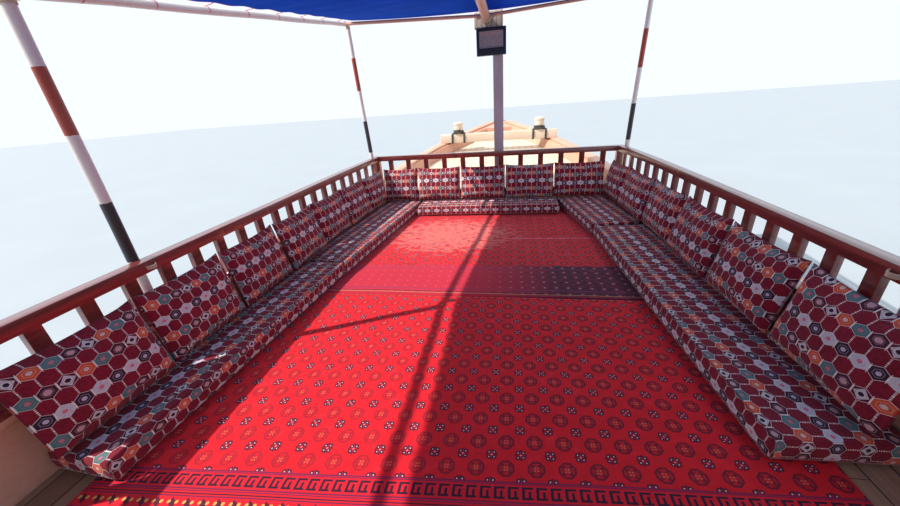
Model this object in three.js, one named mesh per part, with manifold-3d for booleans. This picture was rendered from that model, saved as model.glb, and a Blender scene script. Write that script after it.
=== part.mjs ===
// A wooden motor dhow of the kind that carries day guests: a planked hull with a raked stem and transom,
// a carpeted seating deck between balustrades with floor mattresses and back cushions, a cloth awning on
// painted poles, a foredeck with a mooring beam and two bitts, an engine box, a helm, rudder and propeller.
// Millimetres. +X is starboard, +Y is forward, +Z is up, and z = 0 is the waterline amidships.
import * as THREE from "three";
import { mergeVertices } from "three/addons/utils/BufferGeometryUtils.js";
import Module from "manifold-3d";

const wasm = await Module();
wasm.setup();

// Hull lines
const KEEL_Z = -1050; // underside of the planked body
const STEM_FOOT_Y = 5050; // stem line at KEEL_Z
const STEM_HEAD_Y = 8300; // stem line at the sheer
const POST_FOOT_Y = -6500; // sternpost line at KEEL_Z
const TRANSOM_TOP_Y = -7700; // sternpost line at the sheer
const SHEER_MID_Z = 1530;
const SHEER_BOW_RISE = 720;
const SHEER_STERN_RISE = 250;
const SHEER_BOW_Y = 3300; // the sheer rises forward of this
const SHEER_STERN_Y = -4500; // and aft of this
const HALF_BEAM = 2230;
const BEAM_Y = -1500; // widest section
const TRANSOM_HALF = 1560;
const POST_HALF = 80; // half thickness of keel, stem and sternpost
const BULWARK = 140; // wall thickness above the decks

// Decks
const DECK_Z = 1150; // walking surface of the seating deck
const PLANK = 40;
const FRONT_Y = 3500; // forward balustrade
const AFT_DECK_Y = -5200; // step up to the stern deck
const AFT_DECK_Z = 1500;
const FOREDECK_DROP = 190; // foredeck below the sheer
const FOREDECK_END_Y = 7500;
const GAP = 0.3;
const CAP_T = 45; // gunwale cap thickness

// Balustrade
const RAIL_TOP_Z = DECK_Z + 838;
const RAIL_RISE = 50; // how far the rails climb towards the bow
const RAIL_W = 90;
const RAIL_H = 76;
const RAIL_IN = 80; // outer face of the rail inboard of the hull side
const SILL_H = 32;

// Awning
const AWNING_FRONT_Y = 3530;
const AWNING_AFT_Y = -4980;
const POLE_R = 33;
const RIDGE_R = 58;
const RIDGE_Z = DECK_Z + 2720;
const RIDGE_X = -40;
const MAST_X = 118;

const lerp = (a, b, t) => a + (b - a) * t;
const clamp01 = (t) => Math.min(1, Math.max(0, t));
const smooth = (t) => clamp01(t) ** 2 * (3 - 2 * clamp01(t));
const v3 = (x, y, z) => new THREE.Vector3(x, y, z);

// Plan and profile of the sheer, by distance along the boat
function sheerZ(y) {
  if (y > SHEER_BOW_Y) {
    return SHEER_MID_Z + SHEER_BOW_RISE * ((y - SHEER_BOW_Y) / (STEM_HEAD_Y - SHEER_BOW_Y)) ** 1.6;
  }
  if (y < SHEER_STERN_Y) {
    return SHEER_MID_Z + SHEER_STERN_RISE * ((SHEER_STERN_Y - y) / (SHEER_STERN_Y - TRANSOM_TOP_Y)) ** 1.6;
  }
  return SHEER_MID_Z;
}
function sheerHalf(y) {
  if (y > BEAM_Y) {
    return HALF_BEAM * (1 - ((y - BEAM_Y) / (STEM_HEAD_Y - BEAM_Y)) ** 4.6);
  }
  return HALF_BEAM - (HALF_BEAM - TRANSOM_HALF) * ((BEAM_Y - y) / (BEAM_Y - TRANSOM_TOP_Y)) ** 2.3;
}
const BOW_Z = sheerZ(STEM_HEAD_Y);
const STERN_Z = sheerZ(TRANSOM_TOP_Y);
const STEM_HEAD_Z = BOW_Z + 360;
const stemY = (z) => lerp(STEM_FOOT_Y, STEM_HEAD_Y, (z - KEEL_Z) / (BOW_Z - KEEL_Z));
const postY = (z) => lerp(POST_FOOT_Y, TRANSOM_TOP_Y, (z - KEEL_Z) / (STERN_Z - KEEL_Z));

// Section fullness: share of the half breadth at height share u, for station share s (0 stern, 1 stem)
function fullness(u, s) {
  const bow = smooth((s - 0.5) / 0.5);
  const stern = smooth((0.42 - s) / 0.42);
  const power = 3.6 - 2.25 * bow - 0.6 * stern;
  const root = 0.8 + 0.35 * bow + 3.7 * stern;
  return (1 - (1 - clamp01(u)) ** power) ** root;
}
const stationY = (s) => lerp(TRANSOM_TOP_Y, STEM_HEAD_Y, s);
function hullPoint(s, u) {
  const top = sheerZ(stationY(s));
  const z = lerp(KEEL_Z, top, u);
  const half = Math.max(0, sheerHalf(stationY(s)) - POST_HALF);
  return v3(POST_HALF + half * fullness(u, s), lerp(postY(z), stemY(z), s), z);
}
// Outer half breadth of the hull at a place along it and a height
function halfBreadth(y, z) {
  const s = clamp01((y - postY(z)) / (stemY(z) - postY(z)));
  const top = sheerZ(stationY(s));
  const half = Math.max(0, sheerHalf(stationY(s)) - POST_HALF);
  return POST_HALF + half * fullness((z - KEEL_Z) / (top - KEEL_Z), s);
}
const span = (from, to, steps) => Array.from({ length: steps + 1 }, (_, i) => lerp(from, to, i / steps));

// The gunwale as the hull's stations leave it: straight from one station to the next
const HULL_STATIONS = 30;
const HULL_LEVELS = 11;
const sheerLine = span(0, 1, HULL_STATIONS).map((s) => hullPoint(s, 1));
function gunwale(y) {
  const i = Math.min(Math.max(sheerLine.findIndex((p) => p.y >= y), 1), HULL_STATIONS);
  const [a, b] = [sheerLine[i - 1], sheerLine[i]];
  const t = (y - a.y) / (b.y - a.y);
  return { z: lerp(a.z, b.z, t), half: lerp(a.x, b.x, t) };
}
// Both ends of a stretch and every station between them
const stops = (y0, y1) => [y0, ...sheerLine.map((p) => p.y).filter((y) => y > y0 + 1 && y < y1 - 1), y1];

// Solids
function toManifold(geometry) {
  const bare = geometry.index ? geometry.toNonIndexed() : geometry.clone();
  const only = new THREE.BufferGeometry().setAttribute("position", bare.getAttribute("position"));
  const merged = mergeVertices(only, 1e-3);
  const mesh = new wasm.Mesh({
    numProp: 3,
    vertProperties: new Float32Array(merged.attributes.position.array),
    triVerts: new Uint32Array(merged.index.array),
  });
  return new wasm.Manifold(mesh);
}
function toGeometry(solid) {
  const mesh = solid.getMesh();
  const out = new THREE.BufferGeometry();
  out.setAttribute("position", new THREE.BufferAttribute(new Float32Array(mesh.vertProperties), 3));
  out.setIndex(new THREE.BufferAttribute(new Uint32Array(mesh.triVerts), 1));
  return out;
}
const join = (list) => toGeometry(list.map(toManifold).reduce((a, b) => a.add(b)));
const cut = (body, ...tools) => toGeometry(tools.map(toManifold).reduce((a, b) => a.subtract(b), toManifold(body)));
// The same surface moved out along its normals
function grown(geometry, by = GAP + 0.2) {
  const out = mergeVertices(geometry.clone(), 1e-3);
  out.deleteAttribute("normal");
  out.computeVertexNormals();
  const { position, normal } = out.attributes;
  for (let i = 0; i < position.count; i++) {
    const at = new THREE.Vector3().fromBufferAttribute(position, i);
    at.addScaledVector(new THREE.Vector3().fromBufferAttribute(normal, i), by);
    position.setXYZ(i, at.x, at.y, at.z);
  }
  return out;
}
// A piece cut to lie on or against its supports with a hair's gap
const bed = (piece, ...supports) => cut(piece, ...supports.map((geometry) => grown(geometry)));

// A closed solid through rings of points that all have the same count. flat names the two axes that a
// ring's end cap is triangulated in.
function loft(rings, flat = ["x", "z"]) {
  const n = rings[0].length;
  const position = [];
  rings.forEach((ring) => ring.forEach((p) => position.push(p.x, p.y, p.z)));
  const index = [];
  for (let i = 0; i + 1 < rings.length; i++) {
    for (let j = 0; j < n; j++) {
      const k = (j + 1) % n;
      const a = i * n + j;
      const b = i * n + k;
      index.push(a, b, b + n, a, b + n, a + n);
    }
  }
  const area2 = (pts) => THREE.ShapeUtils.area(pts);
  [0, rings.length - 1].forEach((r, end) => {
    const pts = rings[r].map((p) => new THREE.Vector2(p[flat[0]], p[flat[1]]));
    const faces = THREE.ShapeUtils.triangulateShape(pts, []);
    const same = Math.sign(area2(faces[0].map((q) => pts[q]))) === Math.sign(area2(pts));
    faces.forEach(([a, b, c]) => {
      const forward = same === (end === 1);
      index.push(r * n + a, r * n + (forward ? b : c), r * n + (forward ? c : b));
    });
  });
  const geometry = new THREE.BufferGeometry();
  geometry.setAttribute("position", new THREE.Float32BufferAttribute(position, 3));
  geometry.setIndex(index);
  let volume = 0;
  const at = (i) => v3(position[3 * i], position[3 * i + 1], position[3 * i + 2]);
  for (let i = 0; i < index.length; i += 3) {
    volume += at(index[i]).dot(at(index[i + 1]).cross(at(index[i + 2])));
  }
  if (volume < 0) {
    for (let i = 0; i < index.length; i += 3) {
      [index[i + 1], index[i + 2]] = [index[i + 2], index[i + 1]];
    }
    geometry.setIndex(index);
  }
  return geometry;
}
// A box from its lowest to its highest corner
function box(x0, x1, y0, y1, z0, z1) {
  return new THREE.BoxGeometry(x1 - x0, y1 - y0, z1 - z0).translate((x0 + x1) / 2, (y0 + y1) / 2, (z0 + z1) / 2);
}
// A round bar between two points
function bar(a, b, radius, sides = 12, endRadius = radius) {
  const along = b.clone().sub(a);
  const geometry = new THREE.CylinderGeometry(endRadius, radius, along.length(), sides);
  const turn = new THREE.Quaternion().setFromUnitVectors(v3(0, 1, 0), along.clone().normalize());
  return geometry.applyQuaternion(turn).translate((a.x + b.x) / 2, (a.y + b.y) / 2, (a.z + b.z) / 2);
}
// A round hole for a round bar that turns in it: the flats of its many sides clear the bar
const HOLE_SIDES = 32;
const holeRadius = (barRadius) => (barRadius + 0.35) / Math.cos(Math.PI / HOLE_SIDES);
const hole = (a, b, barRadius) => bar(a, b, holeRadius(barRadius), HOLE_SIDES);

const paint = {
  hullWood: new THREE.MeshStandardMaterial({ color: "#6b4426", roughness: 0.6, metalness: 0 }),
  cream: new THREE.MeshStandardMaterial({ color: "#e9c9a6", roughness: 0.5, metalness: 0 }),
  railWood: new THREE.MeshStandardMaterial({ color: "#5a2018", roughness: 0.35, metalness: 0 }),
  deckWood: new THREE.MeshStandardMaterial({ color: "#9a7a58", roughness: 0.7, metalness: 0 }),
  kilim: new THREE.MeshStandardMaterial({ color: "#6e1226", roughness: 0.95, metalness: 0 }),
  carpet: new THREE.MeshStandardMaterial({ color: "#b3182c", roughness: 0.95, metalness: 0 }),
  awning: new THREE.MeshStandardMaterial({ color: "#1c469c", roughness: 0.8, metalness: 0 }),
  pole: new THREE.MeshStandardMaterial({ color: "#d8d2cc", roughness: 0.45, metalness: 0 }),
  black: new THREE.MeshStandardMaterial({ color: "#15161a", roughness: 0.5, metalness: 0.2 }),
  glass: new THREE.MeshStandardMaterial({ color: "#9a9a90", roughness: 0.1, metalness: 0 }),
  bronze: new THREE.MeshStandardMaterial({ color: "#a07a3a", roughness: 0.35, metalness: 1 }),
  iron: new THREE.MeshStandardMaterial({ color: "#4c5058", roughness: 0.6, metalness: 0.6 }),
};
const boat = new THREE.Group();
function add(name, geometry, material) {
  const mesh = new THREE.Mesh(geometry, material);
  mesh.name = name;
  boat.add(mesh);
  return geometry;
}

// The whole outer form of the hull, from keel to sheer
function hullBody() {
  const rings = span(0, 1, HULL_STATIONS).map((s) => {
    const side = span(0, 1, HULL_LEVELS).map((u) => hullPoint(s, u ** 1.25));
    const port = side.map((p) => v3(-p.x, p.y, p.z)).reverse();
    return [...port, ...side];
  });
  return loft(rings);
}
// The space over a deck, between the bulwarks
function wellOver(y0, y1, floorZ) {
  const rings = stops(y0, y1).map((y) => {
    const low = floorZ(y);
    const high = gunwale(y).z + 400;
    const inLow = halfBreadth(y, low) - BULWARK;
    const inHigh = gunwale(y).half - BULWARK;
    return [v3(-inHigh, y, high), v3(-inLow, y, low), v3(inLow, y, low), v3(inHigh, y, high)];
  });
  return loft(rings);
}
const foredeckZ = (y) => gunwale(y).z - FOREDECK_DROP;
const PROP_Y = -6290;
const PROP_Z = -560;
const SHAFT_R = 31;
function propWindow() {
  const shape = new THREE.Shape();
  shape.moveTo(-6080, -950);
  shape.lineTo(-6460, -950);
  shape.lineTo(-6770, -150);
  shape.lineTo(-6180, -150);
  shape.closePath();
  const depth = 1400;
  const geometry = new THREE.ExtrudeGeometry(shape, { depth, bevelEnabled: false });
  // The shape's x becomes +Y and its y becomes +Z; the depth runs across the boat
  const basis = new THREE.Matrix4().makeBasis(v3(0, 1, 0), v3(0, 0, 1), v3(1, 0, 0));
  return geometry.applyMatrix4(basis).translate(-depth / 2, 0, 0);
}
const shaftHole = hole(v3(0, -6400, PROP_Z), v3(0, -5600, PROP_Z), SHAFT_R);
const hullForm = hullBody();
// The floors under the decks, full width. Columns: after end, forward end, height.
const FORM_CLEAR = 400; // how far a cutting block reaches past the hull
const floors = [
  { y0: TRANSOM_TOP_Y - FORM_CLEAR, y1: AFT_DECK_Y, z: () => AFT_DECK_Z - PLANK - GAP },
  { y0: AFT_DECK_Y, y1: FRONT_Y, z: () => DECK_Z - PLANK - GAP },
  { y0: FRONT_Y, y1: STEM_HEAD_Y + FORM_CLEAR, z: (y) => foredeckZ(y) - PLANK - GAP },
];
// A full-width block over or under a floor, each side of it moved by a hair
function floorBlock({ y0, y1, z }, over, by) {
  const half = HALF_BEAM + FORM_CLEAR;
  const rings = stops(y0 - by, y1 + by).map((y) => {
    const face = z(y) + by;
    const far = over ? STEM_HEAD_Z + FORM_CLEAR : KEEL_Z - FORM_CLEAR;
    return [v3(-half, y, far), v3(-half, y, face), v3(half, y, face), v3(half, y, far)];
  });
  return loft(rings);
}
// The hull proper ends at the floors under its decks
add(
  "hull",
  cut(hullForm, ...floors.map((floor) => floorBlock(floor, true, 0)), propWindow(), shaftHole),
  paint.hullWood,
);
// Bulwarks stand on it: each side's wall, half the transom's and half the bow's
const walls = cut(
  hullForm,
  wellOver(AFT_DECK_Y, FRONT_Y, () => DECK_Z - PLANK - GAP),
  wellOver(FRONT_Y - 1, FOREDECK_END_Y, (y) => foredeckZ(y) - PLANK - GAP),
  wellOver(TRANSOM_TOP_Y + 260, AFT_DECK_Y + 1, () => AFT_DECK_Z - PLANK - GAP),
  ...floors.map((floor) => floorBlock(floor, false, GAP)),
);
for (const [side, sign] of [["port", -1], ["starboard", 1]]) {
  const far = sign * (HALF_BEAM + FORM_CLEAR);
  const other = [-far, (sign * GAP) / 2].sort((a, b) => a - b);
  const half = box(...other, TRANSOM_TOP_Y - FORM_CLEAR, STEM_HEAD_Y + FORM_CLEAR, 0, STEM_HEAD_Z + FORM_CLEAR);
  add(`bulwark_${side}`, cut(walls, half), paint.cream);
}

// Backbone: keel, stem and sternpost stand proud of the planking
const KEEL_H = 230;
add(
  "keel",
  box(-POST_HALF, POST_HALF, POST_FOOT_Y + GAP, STEM_FOOT_Y - GAP, KEEL_Z - KEEL_H, KEEL_Z - GAP),
  paint.hullWood,
);
function profileSolid(points) {
  const shape = new THREE.Shape(points.map(([y, z]) => new THREE.Vector2(y, z)));
  const geometry = new THREE.ExtrudeGeometry(shape, { depth: 2 * POST_HALF, bevelEnabled: false });
  const basis = new THREE.Matrix4().makeBasis(v3(0, 1, 0), v3(0, 0, 1), v3(1, 0, 0));
  return geometry.applyMatrix4(basis).translate(-POST_HALF, 0, 0);
}
const STEM_D = 240;
add(
  "stem",
  profileSolid([
    [STEM_FOOT_Y + 0.4, KEEL_Z - KEEL_H],
    [STEM_FOOT_Y + 140, KEEL_Z - KEEL_H + 20],
    [stemY(-500) + STEM_D, -500],
    [STEM_HEAD_Y + STEM_D + 60, BOW_Z],
    [stemY(STEM_HEAD_Z) + STEM_D + 170, STEM_HEAD_Z],
    [stemY(STEM_HEAD_Z) + 20, STEM_HEAD_Z + 40],
    [stemY(BOW_Z + 20) + 0.4, BOW_Z + 20],
    [stemY(KEEL_Z) + 0.4, KEEL_Z],
  ]),
  paint.hullWood,
);
const POST_D = 150;
const postProfile = profileSolid([
  [POST_FOOT_Y - 0.4, KEEL_Z],
  [TRANSOM_TOP_Y - 0.4, STERN_Z],
  [TRANSOM_TOP_Y - POST_D, STERN_Z],
  [postY(KEEL_Z - KEEL_H) - POST_D, KEEL_Z - KEEL_H],
  [POST_FOOT_Y - 0.4, KEEL_Z - KEEL_H],
]);
// The rudder turns about a raked axis just aft of the post; three lugs on the post hold its pins
const rake = v3(0, TRANSOM_TOP_Y - POST_FOOT_Y, STERN_Z - KEEL_Z).normalize();
const aftward = v3(0, -rake.z, rake.y);
const RUDDER_R = 52;
const RUDDER_CLEAR = 9;
const RUDDER_TOP = 3350;
const PIN_R = 20;
const LUG = { at: [150, 1450, 2650], r: 44, height: 44, notch: 66, slot: 64 };
const hingeFoot = v3(0, POST_FOOT_Y, KEEL_Z).addScaledVector(aftward, POST_D * rake.z + RUDDER_R + RUDDER_CLEAR);
const onHinge = (h) => hingeFoot.clone().addScaledVector(rake, h);
const lugs = LUG.at.map((h) => {
  const [low, high] = [onHinge(h - LUG.height / 2), onHinge(h + LUG.height / 2)];
  const arm = new THREE.BoxGeometry(70, 140, LUG.height).translate(0, 70 + PIN_R + 10, 0);
  arm.applyQuaternion(new THREE.Quaternion().setFromUnitVectors(v3(0, 0, 1), rake));
  const mid = onHinge(h);
  arm.translate(mid.x, mid.y, mid.z);
  return cut(join([bar(low, high, LUG.r, 16), arm]), hole(onHinge(h - 100), onHinge(h + 100), PIN_R));
});
add("sternpost", join([postProfile, ...lugs]), paint.hullWood);

// Wales: rubbing strakes along each side
for (const [side, sign] of [["port", -1], ["starboard", 1]]) {
  const rings = stops(-7300, 7500).map((y) => {
    const top = gunwale(y).z - 270;
    const low = halfBreadth(y, top - 110);
    const high = halfBreadth(y, top);
    return [
      v3(sign * (low - 25), y, top - 110),
      v3(sign * (low + 45), y, top - 98),
      v3(sign * (high + 45), y, top - 12),
      v3(sign * (high - 25), y, top),
    ];
  });
  add(`wale_${side}`, bed(loft(rings), hullForm), paint.hullWood);
}

// Gunwale caps
const CAP_END_Y = 7960;
const RAIL_FACE = RAIL_IN + RAIL_W; // inner face of the rail inboard of the hull side
const caps = {};
for (const [side, sign] of [["port", -1], ["starboard", 1]]) {
  const rings = stops(TRANSOM_TOP_Y + 120, CAP_END_Y).map((y) => {
    const { z, half } = gunwale(y);
    const outer = half + 22;
    const inner = Math.max(half - RAIL_FACE, 12);
    const low = z + GAP;
    return [
      v3(sign * inner, y, low),
      v3(sign * outer, y, low),
      v3(sign * outer, y, z + CAP_T),
      v3(sign * inner, y, z + CAP_T),
    ];
  });
  caps[side] = add(`gunwale_cap_${side}`, loft(rings), paint.cream);
}
const capTop = (y) => gunwale(y).z + CAP_T;

// Decks laid inside the bulwarks
function deckSlab(y0, y1, topZ) {
  const rings = stops(y0, y1).map((y) => {
    const top = topZ(y);
    const half = Math.min(halfBreadth(y, top), halfBreadth(y, top - PLANK)) - BULWARK - 6;
    return [v3(-half, y, top), v3(-half, y, top - PLANK), v3(half, y, top - PLANK), v3(half, y, top)];
  });
  return loft(rings);
}
add("seating_deck", deckSlab(AFT_DECK_Y + 5, FRONT_Y - 5, () => DECK_Z), paint.deckWood);
add("foredeck", deckSlab(FRONT_Y + 5, FOREDECK_END_Y - 10, foredeckZ), paint.cream);
add("stern_deck", deckSlab(TRANSOM_TOP_Y + 270, AFT_DECK_Y - 5, () => AFT_DECK_Z), paint.deckWood);

// Mooring beam across the bow, and its two bitts
const BEAM_AT_Y = 6200;
const BEAM_HALF = 1330;
const BEAM_Z = capTop(BEAM_AT_Y) + 172;
const BEAM_H = 185;
const BITT_R = 105;
const bittX = { port: -900, starboard: 950 };
const beamRaw = box(-BEAM_HALF, BEAM_HALF, BEAM_AT_Y - 95, BEAM_AT_Y + 95, BEAM_Z - BEAM_H, BEAM_Z);
const bittHoles = Object.values(bittX).map((x) =>
  bar(v3(x, BEAM_AT_Y, BEAM_Z - BEAM_H - 50), v3(x, BEAM_AT_Y, BEAM_Z + 50), 70.5, 16),
);
add("mooring_beam", bed(cut(beamRaw, ...bittHoles), caps.port, caps.starboard, hullForm), paint.cream);
for (const [side, x] of Object.entries(bittX)) {
  const foot = BEAM_Z - BEAM_H - 20;
  add(
    `bitt_${side}`,
    join([
      bar(v3(x, BEAM_AT_Y, foot), v3(x, BEAM_AT_Y, BEAM_Z + 20), 70, 16),
      bar(v3(x, BEAM_AT_Y, BEAM_Z + GAP), v3(x, BEAM_AT_Y, BEAM_Z + 215), BITT_R, 16),
      bar(v3(x, BEAM_AT_Y, BEAM_Z + 210), v3(x, BEAM_AT_Y, BEAM_Z + 265), BITT_R + 8, 16, BITT_R - 10),
    ]),
    paint.cream,
  );
}

// Balustrades: a sill, a top rail and a row of balusters, joined
const railHalf = (y) => gunwale(y).half - RAIL_IN - RAIL_W / 2; // centreline of a side rail
function railRun(y0, y1, sign, low, high) {
  const rings = stops(y0, y1).map((y) => {
    const x = railHalf(y);
    return [
      v3(sign * (x - RAIL_W / 2), y, low(y)),
      v3(sign * (x + RAIL_W / 2), y, low(y)),
      v3(sign * (x + RAIL_W / 2), y, high(y)),
      v3(sign * (x - RAIL_W / 2), y, high(y)),
    ];
  });
  return loft(rings);
}
const railTop = (y) => RAIL_TOP_Z + RAIL_RISE * Math.max(0, y / FRONT_Y) ** 1.5;
const sillLow = (y) => capTop(y) + 2 * GAP;
const sillHigh = (y) => capTop(y) + SILL_H;
// A sill and a top rail along one side, with balusters from first aft by pitch
function sideRail(y0, y1, sign, topZ, first, count) {
  const pieces = [
    railRun(y0, y1, sign, sillLow, sillHigh),
    railRun(y0, y1, sign, (y) => topZ(y) - RAIL_H, topZ),
  ];
  for (let i = 0; i < count; i++) {
    const y = first - i * BALUSTER_PITCH;
    const x = sign * railHalf(y);
    const [t, w] = [BALUSTER_T / 2, BALUSTER_W / 2];
    pieces.push(box(x - t, x + t, y - w, y + w, sillHigh(y) - 12, topZ(y) - RAIL_H + 5));
  }
  return pieces;
}
const SIDE_RAIL_AFT = -5150;
const SIDE_RAIL_FWD = FRONT_Y - RAIL_W / 2 - 1;
const BALUSTER_PITCH = 250;
const BALUSTER_W = 78;
const BALUSTER_T = 40;
const SIDE_BALUSTERS = 34;
for (const [side, sign] of [["port", -1], ["starboard", 1]]) {
  const pieces = sideRail(SIDE_RAIL_AFT, SIDE_RAIL_FWD, sign, railTop, SIDE_RAIL_FWD - 150, SIDE_BALUSTERS);
  add(`rail_${side}`, join(pieces), paint.railWood);
}
const FRONT_BALUSTERS = 12;
const FRONT_PITCH = 312;
{
  const end = railHalf(FRONT_Y) + RAIL_W / 2;
  const yy = [FRONT_Y - RAIL_W / 2, FRONT_Y + RAIL_W / 2];
  const foot = foredeckZ(FRONT_Y + RAIL_W / 2) + 1;
  const postFoot = capTop(FRONT_Y + RAIL_W / 2) + GAP;
  const inner = halfBreadth(FRONT_Y, SHEER_MID_Z) - BULWARK - 60;
  const top = railTop(FRONT_Y);
  const pieces = [
    box(-end, end, yy[0], yy[1], top - RAIL_H, top),
    box(-inner, inner, yy[0] + 10, yy[1], foot, foot + SILL_H + 30),
  ];
  for (let i = 0; i < FRONT_BALUSTERS; i++) {
    const x = (i - (FRONT_BALUSTERS - 1) / 2) * FRONT_PITCH;
    const [w, t] = [BALUSTER_W / 2, BALUSTER_T / 2];
    pieces.push(box(x - w, x + w, FRONT_Y - t, FRONT_Y + t, foot + SILL_H, top - RAIL_H + 5));
  }
  for (const sign of [-1, 1]) {
    const x = sign * (end - RAIL_W / 2);
    pieces.push(box(x - 42, x + 42, yy[0] + 3, yy[1] - 3, postFoot, top - 5));
  }
  add("rail_front", join(pieces), paint.railWood);
}
// Stern balustrade: taller, round the helm
const STERN_RAIL_Z = AFT_DECK_Z + 860;
{
  const aft = TRANSOM_TOP_Y + 300;
  const forward = -5260;
  const pieces = [-1, 1].flatMap((sign) => sideRail(aft, forward, sign, () => STERN_RAIL_Z, forward - 60, 9));
  const end = railHalf(aft) + RAIL_W / 2;
  pieces.push(box(-end, end, aft - RAIL_W, aft, STERN_RAIL_Z - RAIL_H, STERN_RAIL_Z));
  const sill = capTop(aft - RAIL_W);
  pieces.push(box(-end, end, aft - RAIL_W, aft + 5, sill + GAP, sill + SILL_H));
  for (let i = 0; i < 11; i++) {
    const x = (i - 5) * 245;
    const [w, t] = [BALUSTER_W / 2, BALUSTER_T / 2];
    pieces.push(box(x - w, x + w, aft - 45 - t, aft - 45 + t, sill + 20, STERN_RAIL_Z - RAIL_H + 5));
  }
  add("rail_stern", join(pieces), paint.railWood);
}

// Mast, and the floodlight under the chock at its head
const MAST_HALF = 76;
const MAST_Y = FRONT_Y + 250;
add(
  "mast",
  box(MAST_X - MAST_HALF, MAST_X + MAST_HALF, MAST_Y - MAST_HALF, MAST_Y + MAST_HALF, foredeckZ(MAST_Y) + 8, RIDGE_Z + 230),
  paint.pole,
);
const CHOCK_Y = [MAST_Y - MAST_HALF - 82, MAST_Y - MAST_HALF - GAP];
const FLOOD = { x: 30, y0: 3490, y1: 3580, z0: DECK_Z + 2245, z1: DECK_Z + 2590, half: 212 };
{
  const { x, y0, y1, z0, z1, half } = FLOOD;
  const bracketZ = RIDGE_Z - 120 - GAP;
  const shell = cut(
    box(x - half, x + half, y0, y1, z0, z1),
    box(x - half + 38, x + half - 38, y0 - 1, y0 + 26, z0 + 92, z1 - 40),
  );
  add(
    "floodlight",
    join([
      shell,
      box(x - 130, x + 130, y1 - 5, y1 + 26, z0 + 110, z0 + 150),
      box(x - 130, x - 100, y1 - 5, CHOCK_Y[1], z0 + 110, bracketZ),
      box(x + 100, x + 130, y1 - 5, CHOCK_Y[1], z0 + 110, bracketZ),
      box(x - 130, x + 130, y1 + 14, CHOCK_Y[1], bracketZ - 12, bracketZ),
    ]),
    paint.black,
  );
  add("floodlight_glass", box(x - half + 40, x + half - 40, y0 + 14, y0 + 26 - GAP, z0 + 94, z1 - 42), paint.glass);
}

// Awning frame and cloth. Columns: place along the boat, height of the cloth's side edge.
const awningEdge = [
  { y: AWNING_FRONT_Y, z: DECK_Z + 2880 },
  { y: -560, z: DECK_Z + 2370 },
  { y: AWNING_AFT_Y, z: DECK_Z + 2300 },
];
const awningEdgeZ = (y) => {
  const [a, b, c] = awningEdge;
  return y > b.y ? lerp(b.z, a.z, (y - b.y) / (a.y - b.y)) : lerp(c.z, b.z, (y - c.y) / (b.y - c.y));
};
const poleX = (y) => gunwale(y).half - RAIL_IN + POLE_R + 4;
// Poles. Columns: place along the boat, half distance between the side poles there.
const POLES = [
  { y: FRONT_Y - 10, top: 2110 },
  { y: -560, top: 2185 },
  { y: -4900, top: 2110 },
];
const SIDE_POLE_R = 28;
const CLOTH = 12;
const sidePoleZ = (y) => awningEdgeZ(y) - CLOTH - SIDE_POLE_R - 6;
// A leaning pole's round foot stands just clear of the sloping cap
function poleFoot(y, top) {
  const lean = Math.abs(top - poleX(y)) / (sidePoleZ(y) - capTop(y));
  const slope = Math.abs(capTop(y + POLE_R) - capTop(y - POLE_R)) / (2 * POLE_R);
  return capTop(y) + GAP + POLE_R * (lean + slope);
}
const sidePoleX = (y) => {
  const [a, b, c] = POLES;
  return y > b.y ? lerp(b.top, a.top, (y - b.y) / (a.y - b.y)) : lerp(c.top, b.top, (y - c.y) / (b.y - c.y));
};
for (const [side, sign] of [["port", -1], ["starboard", 1]]) {
  const pieces = POLES.map(({ y, top }) =>
    bar(v3(sign * poleX(y), y, poleFoot(y, top)), v3(sign * (top - 6), y, sidePoleZ(y)), POLE_R, 12),
  );
  const knots = [AWNING_FRONT_Y - 20, POLES[1].y, AWNING_AFT_Y + 30].map((y) => v3(sign * sidePoleX(y), y, sidePoleZ(y)));
  pieces.push(bar(knots[0], knots[1], SIDE_POLE_R, 10), bar(knots[1], knots[2], SIDE_POLE_R, 10));
  pieces.push(new THREE.SphereGeometry(SIDE_POLE_R + 2, 10, 8).translate(knots[1].x, knots[1].y, knots[1].z));
  add(`awning_poles_${side}`, join(pieces), paint.pole);
}
{
  const pieces = [
    bar(v3(RIDGE_X, AWNING_AFT_Y + 20, RIDGE_Z), v3(RIDGE_X, CHOCK_Y[0] + 10, RIDGE_Z), RIDGE_R, 14),
    // The chock that ties the ridge pole to the mast
    box(-215, MAST_X + MAST_HALF, ...CHOCK_Y, RIDGE_Z - 120, RIDGE_Z + 85),
  ];
  for (const y of [3440, -470, -4820]) {
    const reach = sidePoleX(y) - SIDE_POLE_R - 1.2;
    const low = sidePoleZ(y);
    const crown = v3(RIDGE_X, y, RIDGE_Z + 4);
    for (const sign of [-1, 1]) {
      pieces.push(bar(v3(sign * reach, y, low), crown, 22, 8));
    }
  }
  add("awning_ridge_frame", join(pieces), paint.cream);
}
const awningHalf = (y) => sidePoleX(y) + 34;
const AWNING_OVER_RIDGE = 9.6;
const AWNING_OVER_EDGE = 6;
const awningTop = (share, y) =>
  lerp(RIDGE_Z + RIDGE_R + AWNING_OVER_RIDGE + CLOTH, awningEdgeZ(y) + AWNING_OVER_EDGE, Math.abs(share));
{
  const across = span(-1, 1, 10);
  const rings = span(AWNING_AFT_Y, AWNING_FRONT_Y, 12).map((y) => [
    ...across.map((share) => v3(share * awningHalf(y), y, awningTop(share, y))),
    ...across.map((share) => v3(share * awningHalf(y), y, awningTop(share, y) - CLOTH)).reverse(),
  ]);
  add("awning", loft(rings), paint.awning);
}

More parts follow.
